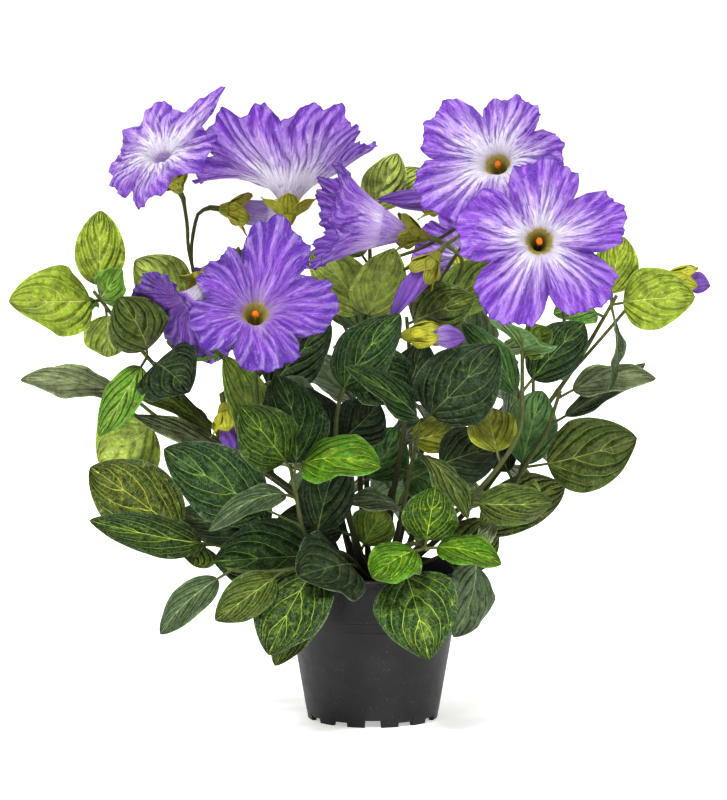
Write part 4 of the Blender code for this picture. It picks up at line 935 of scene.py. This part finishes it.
# Flowers. Each open one is as in the part: where the mouth of its tube is, the way it looks, its tube's
# length, how far its lobes stand forward (0 lies flat), its notches and points, and its five lobes
# (angle from the top, reach, bend, point), clockwise as one looks into it. "deeper", "paler", "plain",
# "violetTube" and "worn" are its own colouring. What a row leaves out is usualFlower's.
blooms = {
    "bloom_1": {
        "mouth": (-137, 368, -14), "looks": (-0.33, -0.58, 0.75), "flare": 0.15, "notch": 0.34,
        "point": 0.15, "spread": 0.5, "throat": 4.5,
        "lobes": ((48, 62, 0.6, 1.3), (98, 46, 0.0), (180, 38, -0.9), (246, 43, -1.0), (300, 44, -0.1)),
        "host": "spray_left_back", "at": 0.9, "via": [(-118, 300, 6), (-120, 322, 2)], "deeper": -0.16,
        "plain": 0.9,
    },
    "bloom_2": {
        "mouth": (-54, 347, 4), "looks": (0.02, 0.3, 0.95), "tube": 20, "flare": 0.5, "notch": 0.22,
        "point": 0.12, "spread": 0.85, "throat": 12.0,
        "lobes": ((-8, 76, 1.0), (76, 68, 0.25), (146, 70, 0.5), (228, 70, 0.15), (276, 64, -1.0)),
        "host": "spray_centre_top", "at": 0.62, "via": [(-38, 290, 12)], "deeper": -0.04, "ruffled": 1.3,
    },
    "bloom_3": {
        "mouth": (-64, 328, 44), "looks": (0.98, 0.05, -0.12), "tube": 30, "flare": 0.9, "notch": 0.3,
        "spread": 0.55, "throat": 9.0, "knots": ((0, 2.3), (0.3, 7.57), (1, 9)),
        "lobes": ((0, 24, -0.3), (72, 24, -0.3), (144, 27, -0.3), (216, 27, -0.3), (288, 24, -0.3)),
        "host": "spray_left_back", "at": 0.8, "via": [(-116, 290, 34), (-114, 326, 42)], "deeper": 0.05,
        "paler": 0.1, "ruffled": 0.5, "violetTube": 0.75,
    },
    "bloom_4": {
        "mouth": (-76, 266, -100), "looks": (0.05, -0.83, 0.55), "flare": 0.1, "notch": 0.36,
        "lobes": ((15, 64, 0.2), (86, 51, -0.1), (165, 43, -0.2), (254, 43, -0.2), (320, 45, 0.0)),
        "host": "spray_left_middle", "at": 0.42, "via": [(-74, 200, -24)], "deeper": 0.41,
    },
    "bloom_5": {
        "mouth": (-122, 270, -34), "looks": (-0.66, -0.45, -0.6), "tube": 26, "flare": 0.3, "notch": 0.28,
        "point": 0.15,
        "lobes": ((0, 34, -0.2), (66, 30, 0.1), (140, 44, -0.3), (205, 46, -0.3), (285, 40, 0.2)),
        "host": "spray_left_back", "at": 0.68, "via": [(-88, 272, 6), (-86, 306, -10)], "deeper": 0.55,
        "plain": 0.8,
    },
    "bloom_6": {
        "mouth": (0, 321, -34), "looks": (-0.93, -0.1, 0.2), "tube": 30, "flare": 1.15, "notch": 0.14,
        "point": 0.08, "spread": 0.5, "throat": 15.0,
        "lobes": ((0, 54, -0.3), (66, 56, -0.5), (150, 58, -0.3), (215, 56, 0.0), (288, 56, -0.2)),
        "host": "spray_centre_right", "at": 0.88, "via": [(46, 272, -22), (58, 298, -34)], "deeper": 0.24,
        "ruffled": 0.8, "violetTube": 0.85, "worn": 0.8,
    },
    "bloom_7": {
        "mouth": (80, 363, -34), "looks": (-0.2, -0.78, 0.58), "flare": 0.15, "notch": 0.32,
        "lobes": ((16, 47, 0.1), (80, 44, 0.0), (150, 36, -0.9), (234, 56, -0.2), (300, 54, 0.1)),
        "host": "spray_right_top", "at": 0.6, "via": [(102, 280, 12)], "deeper": -0.12,
    },
    "bloom_8": {
        "mouth": (108, 312, -130), "looks": (0.0, -0.97, 0.24), "flare": 0.12, "notch": 0.38, "point": 0.04,
        "lobes": ((8, 50, -0.1), (72, 54, -0.2), (134, 55, -0.2), (208, 56, -0.2), (282, 51, -0.1)),
        "host": "spray_right_top", "at": 0.72, "via": [(124, 262, -30), (116, 288, -76)],
    },
    "bloom_9": {
        "mouth": (68, 300, 122), "looks": (0.3, 0.85, 0.3), "flare": 0.12, "notch": 0.28,
        "lobes": ((10, 50, 0.1), (84, 48, -0.2), (158, 50, -0.2), (226, 46, -0.2), (296, 50, 0.0)),
        "host": "spray_back_2", "at": 0.8, "via": [(66, 262, 82)],
    },
    "bloom_10": {
        "mouth": (-84, 268, 118), "looks": (-0.3, 0.82, 0.4), "flare": 0.15, "notch": 0.28,
        "lobes": ((-12, 47, 0.1), (66, 50, -0.2), (140, 46, -0.3), (210, 49, 0.0), (280, 47, 0.1)),
        "host": "spray_back_6", "at": 0.75, "via": [(-76, 232, 82)], "deeper": 0.08,
    },
}
noPistil = ("bloom_1", "bloom_3", "bloom_5")  # too narrow or too closed to show one

# Closed ones: the foot of the cup, the way they look and their length out of the cup.
buds = {
    "bud_1": {
        "foot": (43, 304, -56), "looks": (-0.62, -0.2, -0.74), "length": 46, "spread": 0.5, "shape": "long",
        "host": "spray_centre_right", "at": 0.93, "via": [(46, 290, 6), (64, 318, -22)], "curl": -1.0,
        "deeper": 0.45, "worn": 0.6, "from": 0.16,
    },
    "bud_2": {
        "foot": (19, 250, -60), "looks": (0.98, -0.15, 0.05), "length": 34, "spread": 0.34,
        "host": "spray_centre", "at": 0.9, "via": [(0, 248, -54)], "curl": -3.5, "deeper": 0.12,
        "paler": 0.05,
    },
    "bud_3": {
        "foot": (187, 288, 62), "looks": (0.97, 0.1, -0.1), "length": 27, "spread": 0.3,
        "host": "spray_right_top", "at": 0.75, "via": [(160, 262, 36)], "deeper": 0.3,
    },
    "bud_4": {
        "foot": (-97, 206, -4), "looks": (0.2, -0.3, -0.93), "length": 26, "spread": 0.4,
        "host": "spray_left_middle", "at": 0.56, "via": [(-86, 200, 16), (-92, 214, 4)], "deeper": 0.4,
    },
    "bud_5": {
        "foot": (52, 335, 12), "looks": (-0.97, -0.1, 0.16), "length": 44, "spread": 0.5, "shape": "long",
        "host": "spray_centre_top", "at": 0.85, "via": [(34, 308, 26), (62, 326, 16)], "curl": 0.5,
        "deeper": 0.25, "worn": 0.4, "from": 0.1,
    },
}
usualFlower = {
    "tube": 28, "point": 0.1, "spread": 0.62, "throat": 7.0, "curl": 2.0, "deeper": 0.0, "paler": 0.0,
    "plain": 0.0, "ruffled": 1.0, "violetTube": 0.0, "worn": 0.0, "shape": "usual", "from": -0.45,
}

flowerLook = {
    # as in the part
    "tubeFoot": 2.3, "tubeSwell": 1.2, "tubeLift": 0.4, "lobeCount": 5, "notchSharpness": 3.8,
    "ruffles": 2, "ruffle": 2.0, "straight": 0.01, "cupLength": 6.0, "cupRadii": (2.0, 5.3),
    "gap": 0.3, "sepalCount": 5, "sepalLength": 18.0, "sepalHalf": 5.6, "sepalCloseness": 0.88,
    "sepalCurl": 2.0, "pistilRadius": 0.8, "headRadii": (2.2, 2.8), "pistilShare": 0.86,
    "budRows": {"usual": ((0.0, 2.2), (0.30, 4.2), (0.68, 7.0), (0.90, 4.2), (1.0, 0.4)),
                "long": ((0.0, 2.2), (0.26, 7.0), (0.58, 5.8), (0.86, 2.6), (1.0, 0.4))},
    "budRidge": 0.13, "budTwist": 1.1, "budSag": 0.10, "pedicelRadius": 1.2, "pedicelStart": 4.0,
    "pedicelRunIn": 6.0, "pedicelSink": 1.0, "nearlyUpright": 0.9,
    # finer than the part
    "seed": 11, "perLobe": 60, "tubeSteps": 9, "limbSteps": 29, "petalThickness": 0.4,
    "throatRounding": 34, "throatWindow": 0.20, "seam": 2.0, "seamWidth": 0.14,
    "ridge": 0.5, "ridgeWidth": 0.07, "rim": ((0.030, 3), (0.013, 8), (0.006, 17)), "rimCurl": 2.6,
    "curlFrom": 0.8, "lobeBow": 3.0, "lobeTwist": 3.4, "twistSpread": 1.6, "lobeLag": 1.5,
    "wave": (0.8, 3.4), "creases": ((2.6, 1.5), (6.0, 1.3), (11.0, 0.8)), "sharpness": 3.2,
    "lean": 0.20, "foldWindow": 4, "foldHeight": 0.42,
    "cupAround": 40, "cupRows": 9, "cupWall": 0.6, "cupFoot": 1.0,
    "sepalThickness": 0.5, "sepalRows": 14, "sepalColumns": 9, "sepalBreadth": 1.1,
    "sepalWave": 1.1, "sepalCup": 0.16, "sepalTip": 0.25,
    "budAround": 80, "budSteps": 34, "budRounding": 5, "budViolet": 0.7,
    "pedicelSteps": 22, "pedicelSides": 10, "pedicelFlare": (1.1, 1.5, 1.7),
    "headAround": 24, "headRows": 14,
}


def flowerAxes(looks):
    axis = unit(np.array(looks, float))
    upright = up if abs(axis[2]) < flowerLook["nearlyUpright"] else np.array((0.0, 1.0, 0.0))
    first = squareTo(axis, upright)
    return axis, first, np.cross(first, axis)


def flowerBase(flower):
    if "foot" in flower:
        return onSight(flower["foot"])
    axis = flowerAxes(flower["looks"])[0]
    return onSight(flower["mouth"]) - axis * (flowerLook["cupLength"] + flowerLook["gap"] + flower["tube"])


def petalAt(flower, turn):
    # At this many lobes round from the first: the angle, the reach, the bend, and how near a notch.
    lobe = round(turn)
    off = turn - lobe
    count = flowerLook["lobeCount"]
    here = flower["lobes"][lobe % count]
    beside = flower["lobes"][(lobe + (1 if off > 0 else -1)) % count]
    point = here[3] if len(here) > 3 else flower["point"]
    share = abs(2 * off)
    apart = (beside[0] - here[0] + 180) % 360 - 180
    angle = math.radians(here[0] + apart * share / 2)
    reach = here[1] + (beside[1] - here[1]) * share * share / 2
    reach *= 1 - flower["notch"] * share ** flowerLook["notchSharpness"] - point * share * (1 - share)
    return angle, reach, here[2] + (beside[2] - here[2]) * share / 2, share


def gridNormals(points):
    # For a grid whose columns close on themselves.
    around = np.roll(points, -1, axis=1) - np.roll(points, 1, axis=1)
    normals = np.cross(around, np.gradient(points, axis=0))
    return normals / np.maximum(np.linalg.norm(normals, axis=-1), 1e-9)[..., None]


def noiseSheet(turns, q, count, onward, seed, lean=None):
    # Smooth noise over a flower's petals, with no seam where the turns close.
    lobes = flowerLook["lobeCount"]
    angles = fullTurn * turns / lobes
    radius = count * lobes / fullTurn
    shift = np.zeros((len(q), len(turns))) if lean is None else lean
    return np.array([[noiseAt(Vector((radius * math.cos(a + w), radius * math.sin(a + w), seed + onward * r)))
                      for a, w in zip(angles, row)] for r, row in zip(q[:, 0], shift)])


def trumpetProfile(flower, rows, reach, bend):
    # How far out and how high each point of the tube and its lobes lies.
    look = flowerLook
    q = np.clip(rows - 1, 0, 1)
    wide = flower["throat"]
    upTube = np.minimum(rows, 1)
    height = look["cupLength"] + look["gap"] + look["tubeLift"] + (flower["tube"] - look["tubeLift"]) * upTube
    out = look["tubeFoot"] + (wide - look["tubeFoot"]) * upTube ** look["tubeSwell"]
    if "knots" in flower:
        out = np.interp(upTube, *zip(*flower["knots"]))
    bend = np.where(np.abs(bend) > look["straight"], bend, look["straight"])
    flare = flower["flare"]
    length = reach - wide
    out = out + length * (np.sin(flare + bend * q) - math.sin(flare)) / bend
    height = height + length * (math.cos(flare) - np.cos(flare + bend * q)) / bend
    # The throat opens in a round, not at a corner.
    near = np.exp(-((rows - 1) / look["throatWindow"]) ** 2)[1:-1]
    for line in [out, height] * look["throatRounding"]:
        line[1:-1] += ((line[:-2] + 2 * line[1:-1] + line[2:]) / 4 - line[1:-1]) * near
    return out, height


def creased(flower, number, turns, q):
    # Crumpled cloth: a slow wave that grows towards the rim, and creases that run out from the throat.
    look = flowerLook
    count, size = look["wave"]
    wave = flower["ruffled"] * size * q * q * noiseSheet(turns, q, count, 0.7, 9.0 * number)
    folds = 0
    lean = look["lean"] * noiseSheet(turns, q, 1.0, 2.0, 5.0 + 7.0 * number)
    for count, size in look["creases"]:
        sheet = noiseSheet(turns, q, count, 1.1, 3.0 + 11.0 * number + count, lean)
        folds = folds + size * (1 - look["sharpness"] * np.abs(sheet))
    folds = folds * np.clip(q * 5, 0, 1) * (0.35 + 0.65 * q) * flower["ruffled"]
    # The second result, from -1 to 1, is how far the creases stand above or below their neighbours round the
    # flower; the petal cloth paints shade in the valleys and a highlight on the ridges from it.
    window = range(-look["foldWindow"], look["foldWindow"] + 1)
    smooth = sum(np.roll(folds, step, axis=1) for step in window) / len(window)
    return wave + folds, np.clip((folds - smooth) / look["foldHeight"], -1, 1)


def trumpetBit(flower, number):
    look = flowerLook
    lobeCount = look["lobeCount"]
    draw = random.Random(look["seed"] + number)
    phases = [draw.uniform(0, fullTurn) for unused in range(8)]
    bows, twists = (np.array([draw.uniform(-1, 1) * size for unused in range(lobeCount)])
                    for size in (look["lobeBow"], look["lobeTwist"]))
    axis, first, second = flowerAxes(flower["looks"])
    turns = np.arange(lobeCount * look["perLobe"]) / look["perLobe"]
    angle, reach, bend, share = (np.array(v) for v in zip(*[petalAt(flower, turn) for turn in turns]))
    wave = fullTurn * turns
    for (size, waves), phase in zip(look["rim"], phases):
        reach = reach * (1 + size * np.sin(waves * wave + phase + np.sin(wave + 2 * phase)))
    tubeRows = np.linspace(0, 1, look["tubeSteps"])[:-1]
    rows = np.concatenate((tubeRows, 1 + np.linspace(0, 1, look["limbSteps"])))[:, None]
    q = np.clip(rows - 1, 0, 1)
    out, height = trumpetProfile(flower, rows, reach, bend)
    height = height + look["ruffle"] * q * q * np.sin(look["ruffles"] * wave + flower["tube"])
    seam = np.exp(-((1 - share) / look["seamWidth"]) ** 2)
    height = height - look["seam"] * seam * q ** 0.7 * (1 - 0.5 * q)
    height = height + look["ridge"] * np.exp(-(share / look["ridgeWidth"]) ** 2) * np.sin(math.pi * q)
    # Each lobe bows and twists in its own way, and its rim curls back here and there.
    lobes = np.round(turns).astype(int) % lobeCount
    twist = twists[lobes] * 2 * (turns - np.round(turns)) * (1 - share ** 4) * look["twistSpread"]
    height = height + (bows[lobes] * (1 - share ** 2) + twist) * q ** look["lobeLag"]
    curled = 0.5 + 0.5 * np.sin(12 * wave / lobeCount + phases[6])
    curlFrom = look["curlFrom"]
    height = height - look["rimCurl"] * curled * np.clip((q - curlFrom) / (1 - curlFrom), 0, 1) ** 2
    crumple, fold = creased(flower, number, turns, q)
    height = height + crumple
    points = flowerBase(flower) + height[..., None] * axis + out[..., None] * spokes(angle, first, second)
    turned = wave / lobeCount
    ring = rowsOf(np.cos(turned), np.sin(turned), rows - 1 + 3.7 * number)
    # The fold mask goes in glow for the petal cloth's painted shade and painted highlight, turned over on the
    # outer side.
    return sheetBit(points, points - gridNormals(points) * look["petalThickness"], wrap=True,
                    place=np.concatenate([rowsOf(rows - 1, turns, side) for side in (1.0, 0.0)]),
                    flat=np.concatenate((ring, ring)),
                    glow=np.concatenate([rowsOf(sign * fold, flower["violetTube"], flower["plain"])
                                         for sign in (1, -1)]),
                    tint=(flower["deeper"], flower["paler"], 0.0))


def budBit(bud, number):
    look = flowerLook
    lobeCount = look["lobeCount"]
    axis, first, second = flowerAxes(bud["looks"])
    shares = np.linspace(0, 1, look["budSteps"])
    radius = np.interp(shares, *zip(*look["budRows"][bud["shape"]]))
    for unused in range(look["budRounding"]):
        radius[1:-1] = (radius[:-2] + 2 * radius[1:-1] + radius[2:]) / 4
    angle = roundAngles(look["budAround"])
    shares, radius = shares[:, None], radius[:, None]
    fold = np.cos(lobeCount * angle + 0.7 * np.sin(lobeCount * angle))
    ridge = 1 + (look["budRidge"] + 0.10 * shares ** 2) * fold + 0.03 * np.sin(13 * angle + 9 * shares)
    around = spokes(angle + (look["budTwist"] + 0.5 * shares) * shares, first, second)
    height = look["cupLength"] + look["gap"] + bud["length"] * shares
    sag = look["budSag"] * bud["length"] * shares * shares
    points = (flowerBase(bud) + height[..., None] * axis
              + (radius * ridge)[..., None] * around - sag[..., None] * up)
    outward = bud["from"] + (0.9 - bud["from"]) * shares
    # Painted shade and painted highlight along the bud's pleats: ten stripes round it, painted dark where
    # this wave is low and pale where it is high.
    ridges = np.cos(2 * lobeCount * angle + 3 * shares)
    return skinBit(points, place=rowsOf(outward, angle / fullTurn * lobeCount, 0.0),
                   flat=rowsOf(np.cos(angle), np.sin(angle), outward + 5.3 * number),
                   glow=rowsOf(0.5 * ridges, look["budViolet"], 0.0),
                   tint=(bud["deeper"], bud["paler"], 0.0))


def cupBit(flower):
    look = flowerLook
    axis, first, second = flowerAxes(flower["looks"])
    angle = roundAngles(look["cupAround"])
    share = np.linspace(0, 1, look["cupRows"])[:, None]
    foot, mouth = look["cupRadii"]
    start, wall = look["cupFoot"], look["cupWall"]
    radius = start + (foot - start) * np.minimum(1, share * 6) + (mouth - foot) * share ** 0.8
    radius = radius * (1 + 0.03 * np.cos(10 * angle))
    height = -wall + (look["cupLength"] + wall) * share
    around = spokes(angle, first, second)
    outer = flowerBase(flower) + height[..., None] * axis + radius[..., None] * around
    place = rowsOf(0.2 * share, np.sin(5 * angle), 1.0)
    return sheetBit(outer - wall * around, outer, wrap=True, place=np.concatenate((place, place)),
                    tint=(flower["worn"], 0.0, 0.0))


def sepalBit(flower, number):
    look = flowerLook
    axis, first, second = flowerAxes(flower["looks"])
    share = math.pi / look["sepalCount"]
    angle = 2 * share * (number + 0.5)
    around = first * math.cos(angle) + second * math.sin(angle)
    spread = flower["spread"]
    along = axis * math.cos(spread) + around * math.sin(spread)
    out = around * math.cos(spread) - axis * math.sin(spread)
    base = flowerBase(flower)
    rim = look["cupRadii"][1]
    root = base + axis * look["cupLength"] + around * (rim * math.cos(share))
    middle = root + along * (look["sepalLength"] / 2) + out * (look["sepalCurl"] / 4)
    room = (middle - base).dot(around) * math.tan(share)
    half = min(look["sepalHalf"], room * look["sepalCloseness"])
    s, v = np.meshgrid(np.linspace(-0.04, 1, look["sepalRows"]),
                       np.linspace(-1, 1, look["sepalColumns"]), indexing="ij")
    side = np.sign(v)
    belly = np.sin(math.pi * np.clip(s, 0, 1) ** 0.8) ** 0.7
    width = rim * math.sin(share) * np.clip(1 - s, 0, 1) + look["sepalBreadth"] * half * belly
    width = np.maximum(width * (1 + 0.06 * np.sin(11 * s + 3 * side + number)), look["sepalTip"])
    bow = flower["curl"] * s * s - look["sepalCup"] * width * v * v
    bow = bow + look["sepalWave"] * np.sin(8 * s + 2.2 * side + 1.7 * number) * s * v * v
    points = (root + (look["sepalLength"] * s)[..., None] * along
              + (width * v)[..., None] * np.cross(axis, around) + bow[..., None] * out)
    return sheetBit(points, points - look["sepalThickness"] * out, tint=(flower["worn"], 0.0, 0.0),
                    place=np.concatenate([rowsOf(s, v, k) for k in (0.0, 1.0)]))


def pedicelBit(flower):
    # The flower's own stem, from its spray's stem to its cup.
    look = flowerLook
    axis = flowerAxes(flower["looks"])[0]
    share = flower["at"]
    hostLine = stemLines[flower["host"]]
    host = alongLine(hostLine, share)
    way = [onSight(place) for place in flower["via"]]
    aside = squareTo(directionAlong(hostLine, share), way[0] - host)
    thick, thin = stemLook["radii"]
    start = host + aside * (thick + (thin - thick) * share + look["gap"])
    base = flowerBase(flower)
    points = [start + aside * look["pedicelStart"]] + way + [base - axis * look["pedicelRunIn"]]
    line = smoothLine(points, look["pedicelSteps"])
    line = np.vstack((host, start, line, base + axis * look["pedicelSink"]))
    radii = np.full(len(line), look["pedicelRadius"])
    radii[-3:] *= look["pedicelFlare"]
    return tubeBit(line, radii, look["pedicelSides"], 1, True, place=(stemLook["pedicelAge"], 0.0, 0.0))


def calyxBits(flower):
    sepals = [sepalBit(flower, number) for number in range(flowerLook["sepalCount"])]
    return [cupBit(flower), *sepals, pedicelBit(flower)]


def pistilBits(flower, number):
    look = flowerLook
    axis, first, second = flowerAxes(flower["looks"])
    base = flowerBase(flower)
    foot = base + axis * (look["cupLength"] + look["gap"])
    top = base + axis * (look["cupLength"] + flower["tube"] * look["pistilShare"])
    style = tubeBit(np.linspace(foot, top, 8), np.linspace(look["pistilRadius"], 0.6, 8), 8, 0, True)
    wide, tall = look["headRadii"]
    turn, tip = np.meshgrid(roundAngles(look["headAround"]),
                            np.linspace(0.06, math.pi - 0.06, look["headRows"]), indexing="xy")
    lump = 1 + 0.07 * np.cos(2 * turn + number) * np.sin(tip) + 0.05 * np.sin(7 * turn + 3 * tip)
    points = (top + (wide * lump * np.sin(tip))[..., None] * spokes(turn, first, second)
              - (tall * lump * np.cos(tip))[..., None] * axis)
    return [style, skinBit(points, place=(1.0, 0.0, 0.0))]


def growFlowers():
    for number, (name, row) in enumerate({**blooms, **buds}.items()):
        flower = {**usualFlower, **row}
        shape = trumpetBit(flower, number) if name in blooms else budBit(flower, number)
        makePiece(name + "_petals_cloth", [shape], [petalCloth], name + "_petals", 80)
        makePiece(name + "_calyx_cloth", calyxBits(flower), [calyxCloth, stemCoat], name + "_calyx")
        if name in blooms and name not in noPistil:
            makePiece(name + "_pistil_tip", pistilBits(flower, number), [pistilMatter], name + "_pistil")
    print("flowers and buds grown")


growFlowers()


# Pot and soil

potLook = {
    "height": 98.0, "rimRadius": 60.5, "rimEdge": 1.2, "beadHeight": 3.6, "collarRadii": (58.6, 57.2),
    "collarBottom": 70.0, "shoulderRadii": (55.4, 55.0), "shoulderBottom": 64.0,
    "bodyRadii": (53.4, 42.6), "slope": 0.8, "wall": 1.6, "floor": 6.0, "footWall": 3.0,
    "footRim": (0.9, 5.4), "notches": 12, "drainEvery": 3, "notchWidth": 10.6, "drainHeight": 4.6,
    "notchHeight": 2.8, "notchEdge": 0.25, "around": 144, "rounding": 0.45, "roundingSteps": 4,
    "colour": "1C1B1E", "worn": "454347", "speck": "B9B6B0",
}
soilLook = {
    "top": 89.0, "bump": 1.28, "under": 0.3, "depth": 14, "rings": 44, "around": 120, "gap": 0.3,
    "dark": "1C1510", "crumb": "3A2C20",
}


def makePotPlastic():
    own = potLook
    look, tree = newLook("potPlastic", 0.46, 0.34)
    place = objectPlace(tree)
    scuffs = noise(scaled(place, (30.0, 30.0, 420.0)), 1.0, 5.0, 0.7)
    base = blend(patches(place, 38.0, 0.42, 0.78) * 0.22, own["colour"], own["worn"])
    base = blend(ramped(scuffs, 0.66, 0.80) * 0.30, base, own["worn"])
    base = blend(ramped(noise(place, 1300.0, 1.0, 0.5), 0.775, 0.80) * 0.55, base, own["speck"])
    grain = noise(place, 2600.0, 2.0) * 0.5 + noise(place, 160.0, 2.0)
    return finished(look, grain, 0.25, 0.0003, Base_Color=base,
                    Roughness=patches(place, 90.0, 0.3, 0.7) * 0.10 + 0.42)


def makeSoilCrumb():
    look, tree = newLook("soilCrumb", 0.95, 0.1)
    place = objectPlace(tree)
    base = blend(patches(place, 420.0), soilLook["dark"], soilLook["crumb"])
    return finished(look, noise(place, 700.0, 5.0, 0.7), 1.0, 0.0015, Base_Color=base)


def innerProfile(gap):
    # The pot's inside from its floor to its rim, this far in from the wall.
    look = potLook
    inset = look["wall"] + gap
    low = look["floor"] + look["wall"] + gap
    top, foot = look["bodyRadii"]
    floorRadius = foot + (top - foot) * low / look["shoulderBottom"]
    return [(floorRadius - inset, low), (top - inset, look["shoulderBottom"]),
            (look["shoulderRadii"][0] - inset, look["collarBottom"]),
            (look["collarRadii"][1] - inset, look["collarBottom"] + look["slope"]),
            (look["collarRadii"][0] - inset, look["height"])]


def rounded(profile, reach, steps):
    # The profile with each of its corners turned into a small round.
    profile = [np.array(p) for p in profile]
    line = [profile[0]]
    for before, corner, after in zip(profile, profile[1:], profile[2:]):
        a, b = (corner + way * min(0.45, reach / np.linalg.norm(way))
                for way in (before - corner, after - corner))
        for t in np.linspace(0, 1, steps + 1):
            line.append(a * (1 - t) ** 2 + corner * 2 * t * (1 - t) + b * t * t)
    return np.array(line + [profile[-1]])


def notchAt(angles, half):
    # How high the foot is cut away at these angles.
    look = potLook
    raised = np.zeros(len(angles))
    for k in range(look["notches"]):
        off = np.abs((angles - (360 * k / look["notches"] - 90) + 180) % 360 - 180)
        height = look["notchHeight"] if k % look["drainEvery"] else look["drainHeight"]
        inside = (half + look["notchEdge"] - off) / (2 * look["notchEdge"])
        raised = np.maximum(raised, height * np.clip(inside, 0, 1))
    return raised


def makePot():
    look = potLook
    collarTop, collarFoot = look["collarRadii"]
    shoulderTop, shoulderFoot = look["shoulderRadii"]
    bodyTop, bodyFoot = look["bodyRadii"]
    rim, edge, slope, top = look["rimRadius"], look["rimEdge"], look["slope"], look["height"]
    beadFoot = top - look["beadHeight"]
    collarBottom, shoulderBottom = look["collarBottom"], look["shoulderBottom"]
    footOut, footTop = look["footRim"]
    profile = [(0.0, look["floor"] + look["wall"])] + innerProfile(0.0) + [
        (rim - edge, top), (rim, top - edge), (rim, beadFoot), (collarTop, beadFoot - slope),
        (collarFoot, collarBottom), (shoulderTop, collarBottom - slope),
        (shoulderFoot, shoulderBottom), (bodyTop, shoulderBottom - slope),
        (bodyFoot + footOut, footTop), (bodyFoot, 0.0), (bodyFoot - look["footWall"], 0.0),
        (bodyFoot - look["footWall"], look["floor"]), (0.0, look["floor"])]
    radius, height = rounded(profile, look["rounding"], look["roundingSteps"]).T[..., None]
    half = math.degrees(look["notchWidth"] / 2 / bodyFoot)
    edges = [360 * k / look["notches"] - 90 + side * half + off for k in range(look["notches"])
             for side in (-1, 1) for off in (-look["notchEdge"], 0.0, look["notchEdge"])]
    angles = np.concatenate((np.arange(0, 360, 360 / look["around"]), np.array(edges) % 360))
    angles = np.unique(np.round(angles, 3))
    # The foot's lowest points rise in the notches.
    height = np.where(height < look["drainHeight"], np.maximum(height, notchAt(angles, half)), height)
    points = rowsOf(radius * np.cos(np.radians(angles)), radius * np.sin(np.radians(angles)), height)
    bit = dict(points=points, faces=gridFaces(len(radius), len(angles), wrap=True), look=0)
    mesh = makePiece("pot_shell", [bit], [makePotPlastic()], "pot", 35).data
    kit = bmesh.new()
    kit.from_mesh(mesh)
    bmesh.ops.remove_doubles(kit, verts=kit.verts, dist=0.00002)
    bmesh.ops.recalc_face_normals(kit, faces=kit.faces)
    kit.to_mesh(mesh)
    kit.free()


def makeSoil():
    look = soilLook
    low, high = innerProfile(look["gap"])[-2:]
    share = (look["top"] - low[1]) / (high[1] - low[1])
    edge = low[0] + (high[0] - low[0]) * share
    ways = spokes(roundAngles(look["around"]), np.array((1.0, 0.0, 0.0)), np.array((0.0, 1.0, 0.0)))
    points = edge * np.append(np.linspace(0.02, 1, look["rings"]), 1.0)[:, None, None] * ways
    for point in points[:-1].reshape(-1, 3):
        x, y = point[:2]
        lump = noiseAt(Vector((x * 0.35, y * 0.35, 1.0))) + 0.6 * noiseAt(Vector((x * 1.1, y * 1.1, 5.0)))
        point[2] = look["top"] - look["under"] + look["bump"] * lump
    points[-1, :, 2] = look["top"] - look["depth"]
    makePiece("soil_crumb", [skinBit(points)], [makeSoilCrumb()], "soil", 70)


makePot()
makeSoil()
print("pot and soil made")


# Floor, light and camera

stageLook = {
    "floor": "F6F5F3", "reach": 6.0, "floorGlow": 0.44, "seenWorld": 1.0, "world": 0.49,
    # each sun: from where (x, y, z), strength, how wide it looks in degrees
    "key": ((-0.50, -1.0, 1.35), 2.65, 16), "fill": ((1.1, -0.9, 0.55), 0.45, 60),
    "top": ((0.15, 0.35, 1.5), 0.85, 50),
}


def makeFloor():
    reach = stageLook["reach"]
    mesh = bpy.data.meshes.new("floor")
    mesh.from_pydata([(-reach, -reach, 0), (reach, -reach, 0), (reach, reach, 0), (-reach, reach, 0)], [],
                     [(0, 1, 2, 3)])
    floor = bpy.data.objects.new("floor", mesh)
    bpy.context.scene.collection.objects.link(floor)
    pale = colour(stageLook["floor"])
    mesh.materials.append(newLook("paleFloor", 0.9, 0.05, Base_Color=pale, Emission_Color=pale,
                                  Emission_Strength=stageLook["floorGlow"])[0])


def addSun(name, place, strength, width):
    light = bpy.data.lights.new(name, "SUN")
    light.energy = strength
    light.angle = math.radians(width)
    item = bpy.data.objects.new(name, light)
    item.rotation_euler = Vector(place).to_track_quat("Z", "Y").to_euler()
    bpy.context.scene.collection.objects.link(item)


def makeStage():
    makeFloor()
    for name in ("key", "fill", "top"):
        addSun(name, *stageLook[name])
    world = bpy.data.worlds.new("studio")
    world.use_nodes = True
    tree = world.node_tree
    background = tree.nodes["Background"]
    background.inputs["Color"].default_value = (1.0, 1.0, 1.0, 1.0)
    seen = Wire(tree, addNode(tree, "LightPath").outputs["Is Camera Ray"])
    strength = seen * (stageLook["seenWorld"] - stageLook["world"]) + stageLook["world"]
    tree.links.new(strength.socket, background.inputs["Strength"])
    scene = bpy.context.scene
    scene.world = world
    scene.view_settings.view_transform = "Standard"
    scene.view_settings.look = "Medium High Contrast"
    scene.view_settings.exposure = 0.0


def makeCamera():
    lens = bpy.data.cameras.new("camera")
    lens.sensor_fit = "VERTICAL"
    lens.sensor_height = 36.0
    lens.lens = lensLength
    lens.clip_end = 50.0
    item = bpy.data.objects.new("camera", lens)
    item.location = Vector(eye * mm)
    item.rotation_euler = Vector(lookAt - eye).to_track_quat("-Z", "Y").to_euler()
    bpy.context.scene.collection.objects.link(item)
    bpy.context.scene.camera = item


makeStage()
makeCamera()
print("stage and camera set")
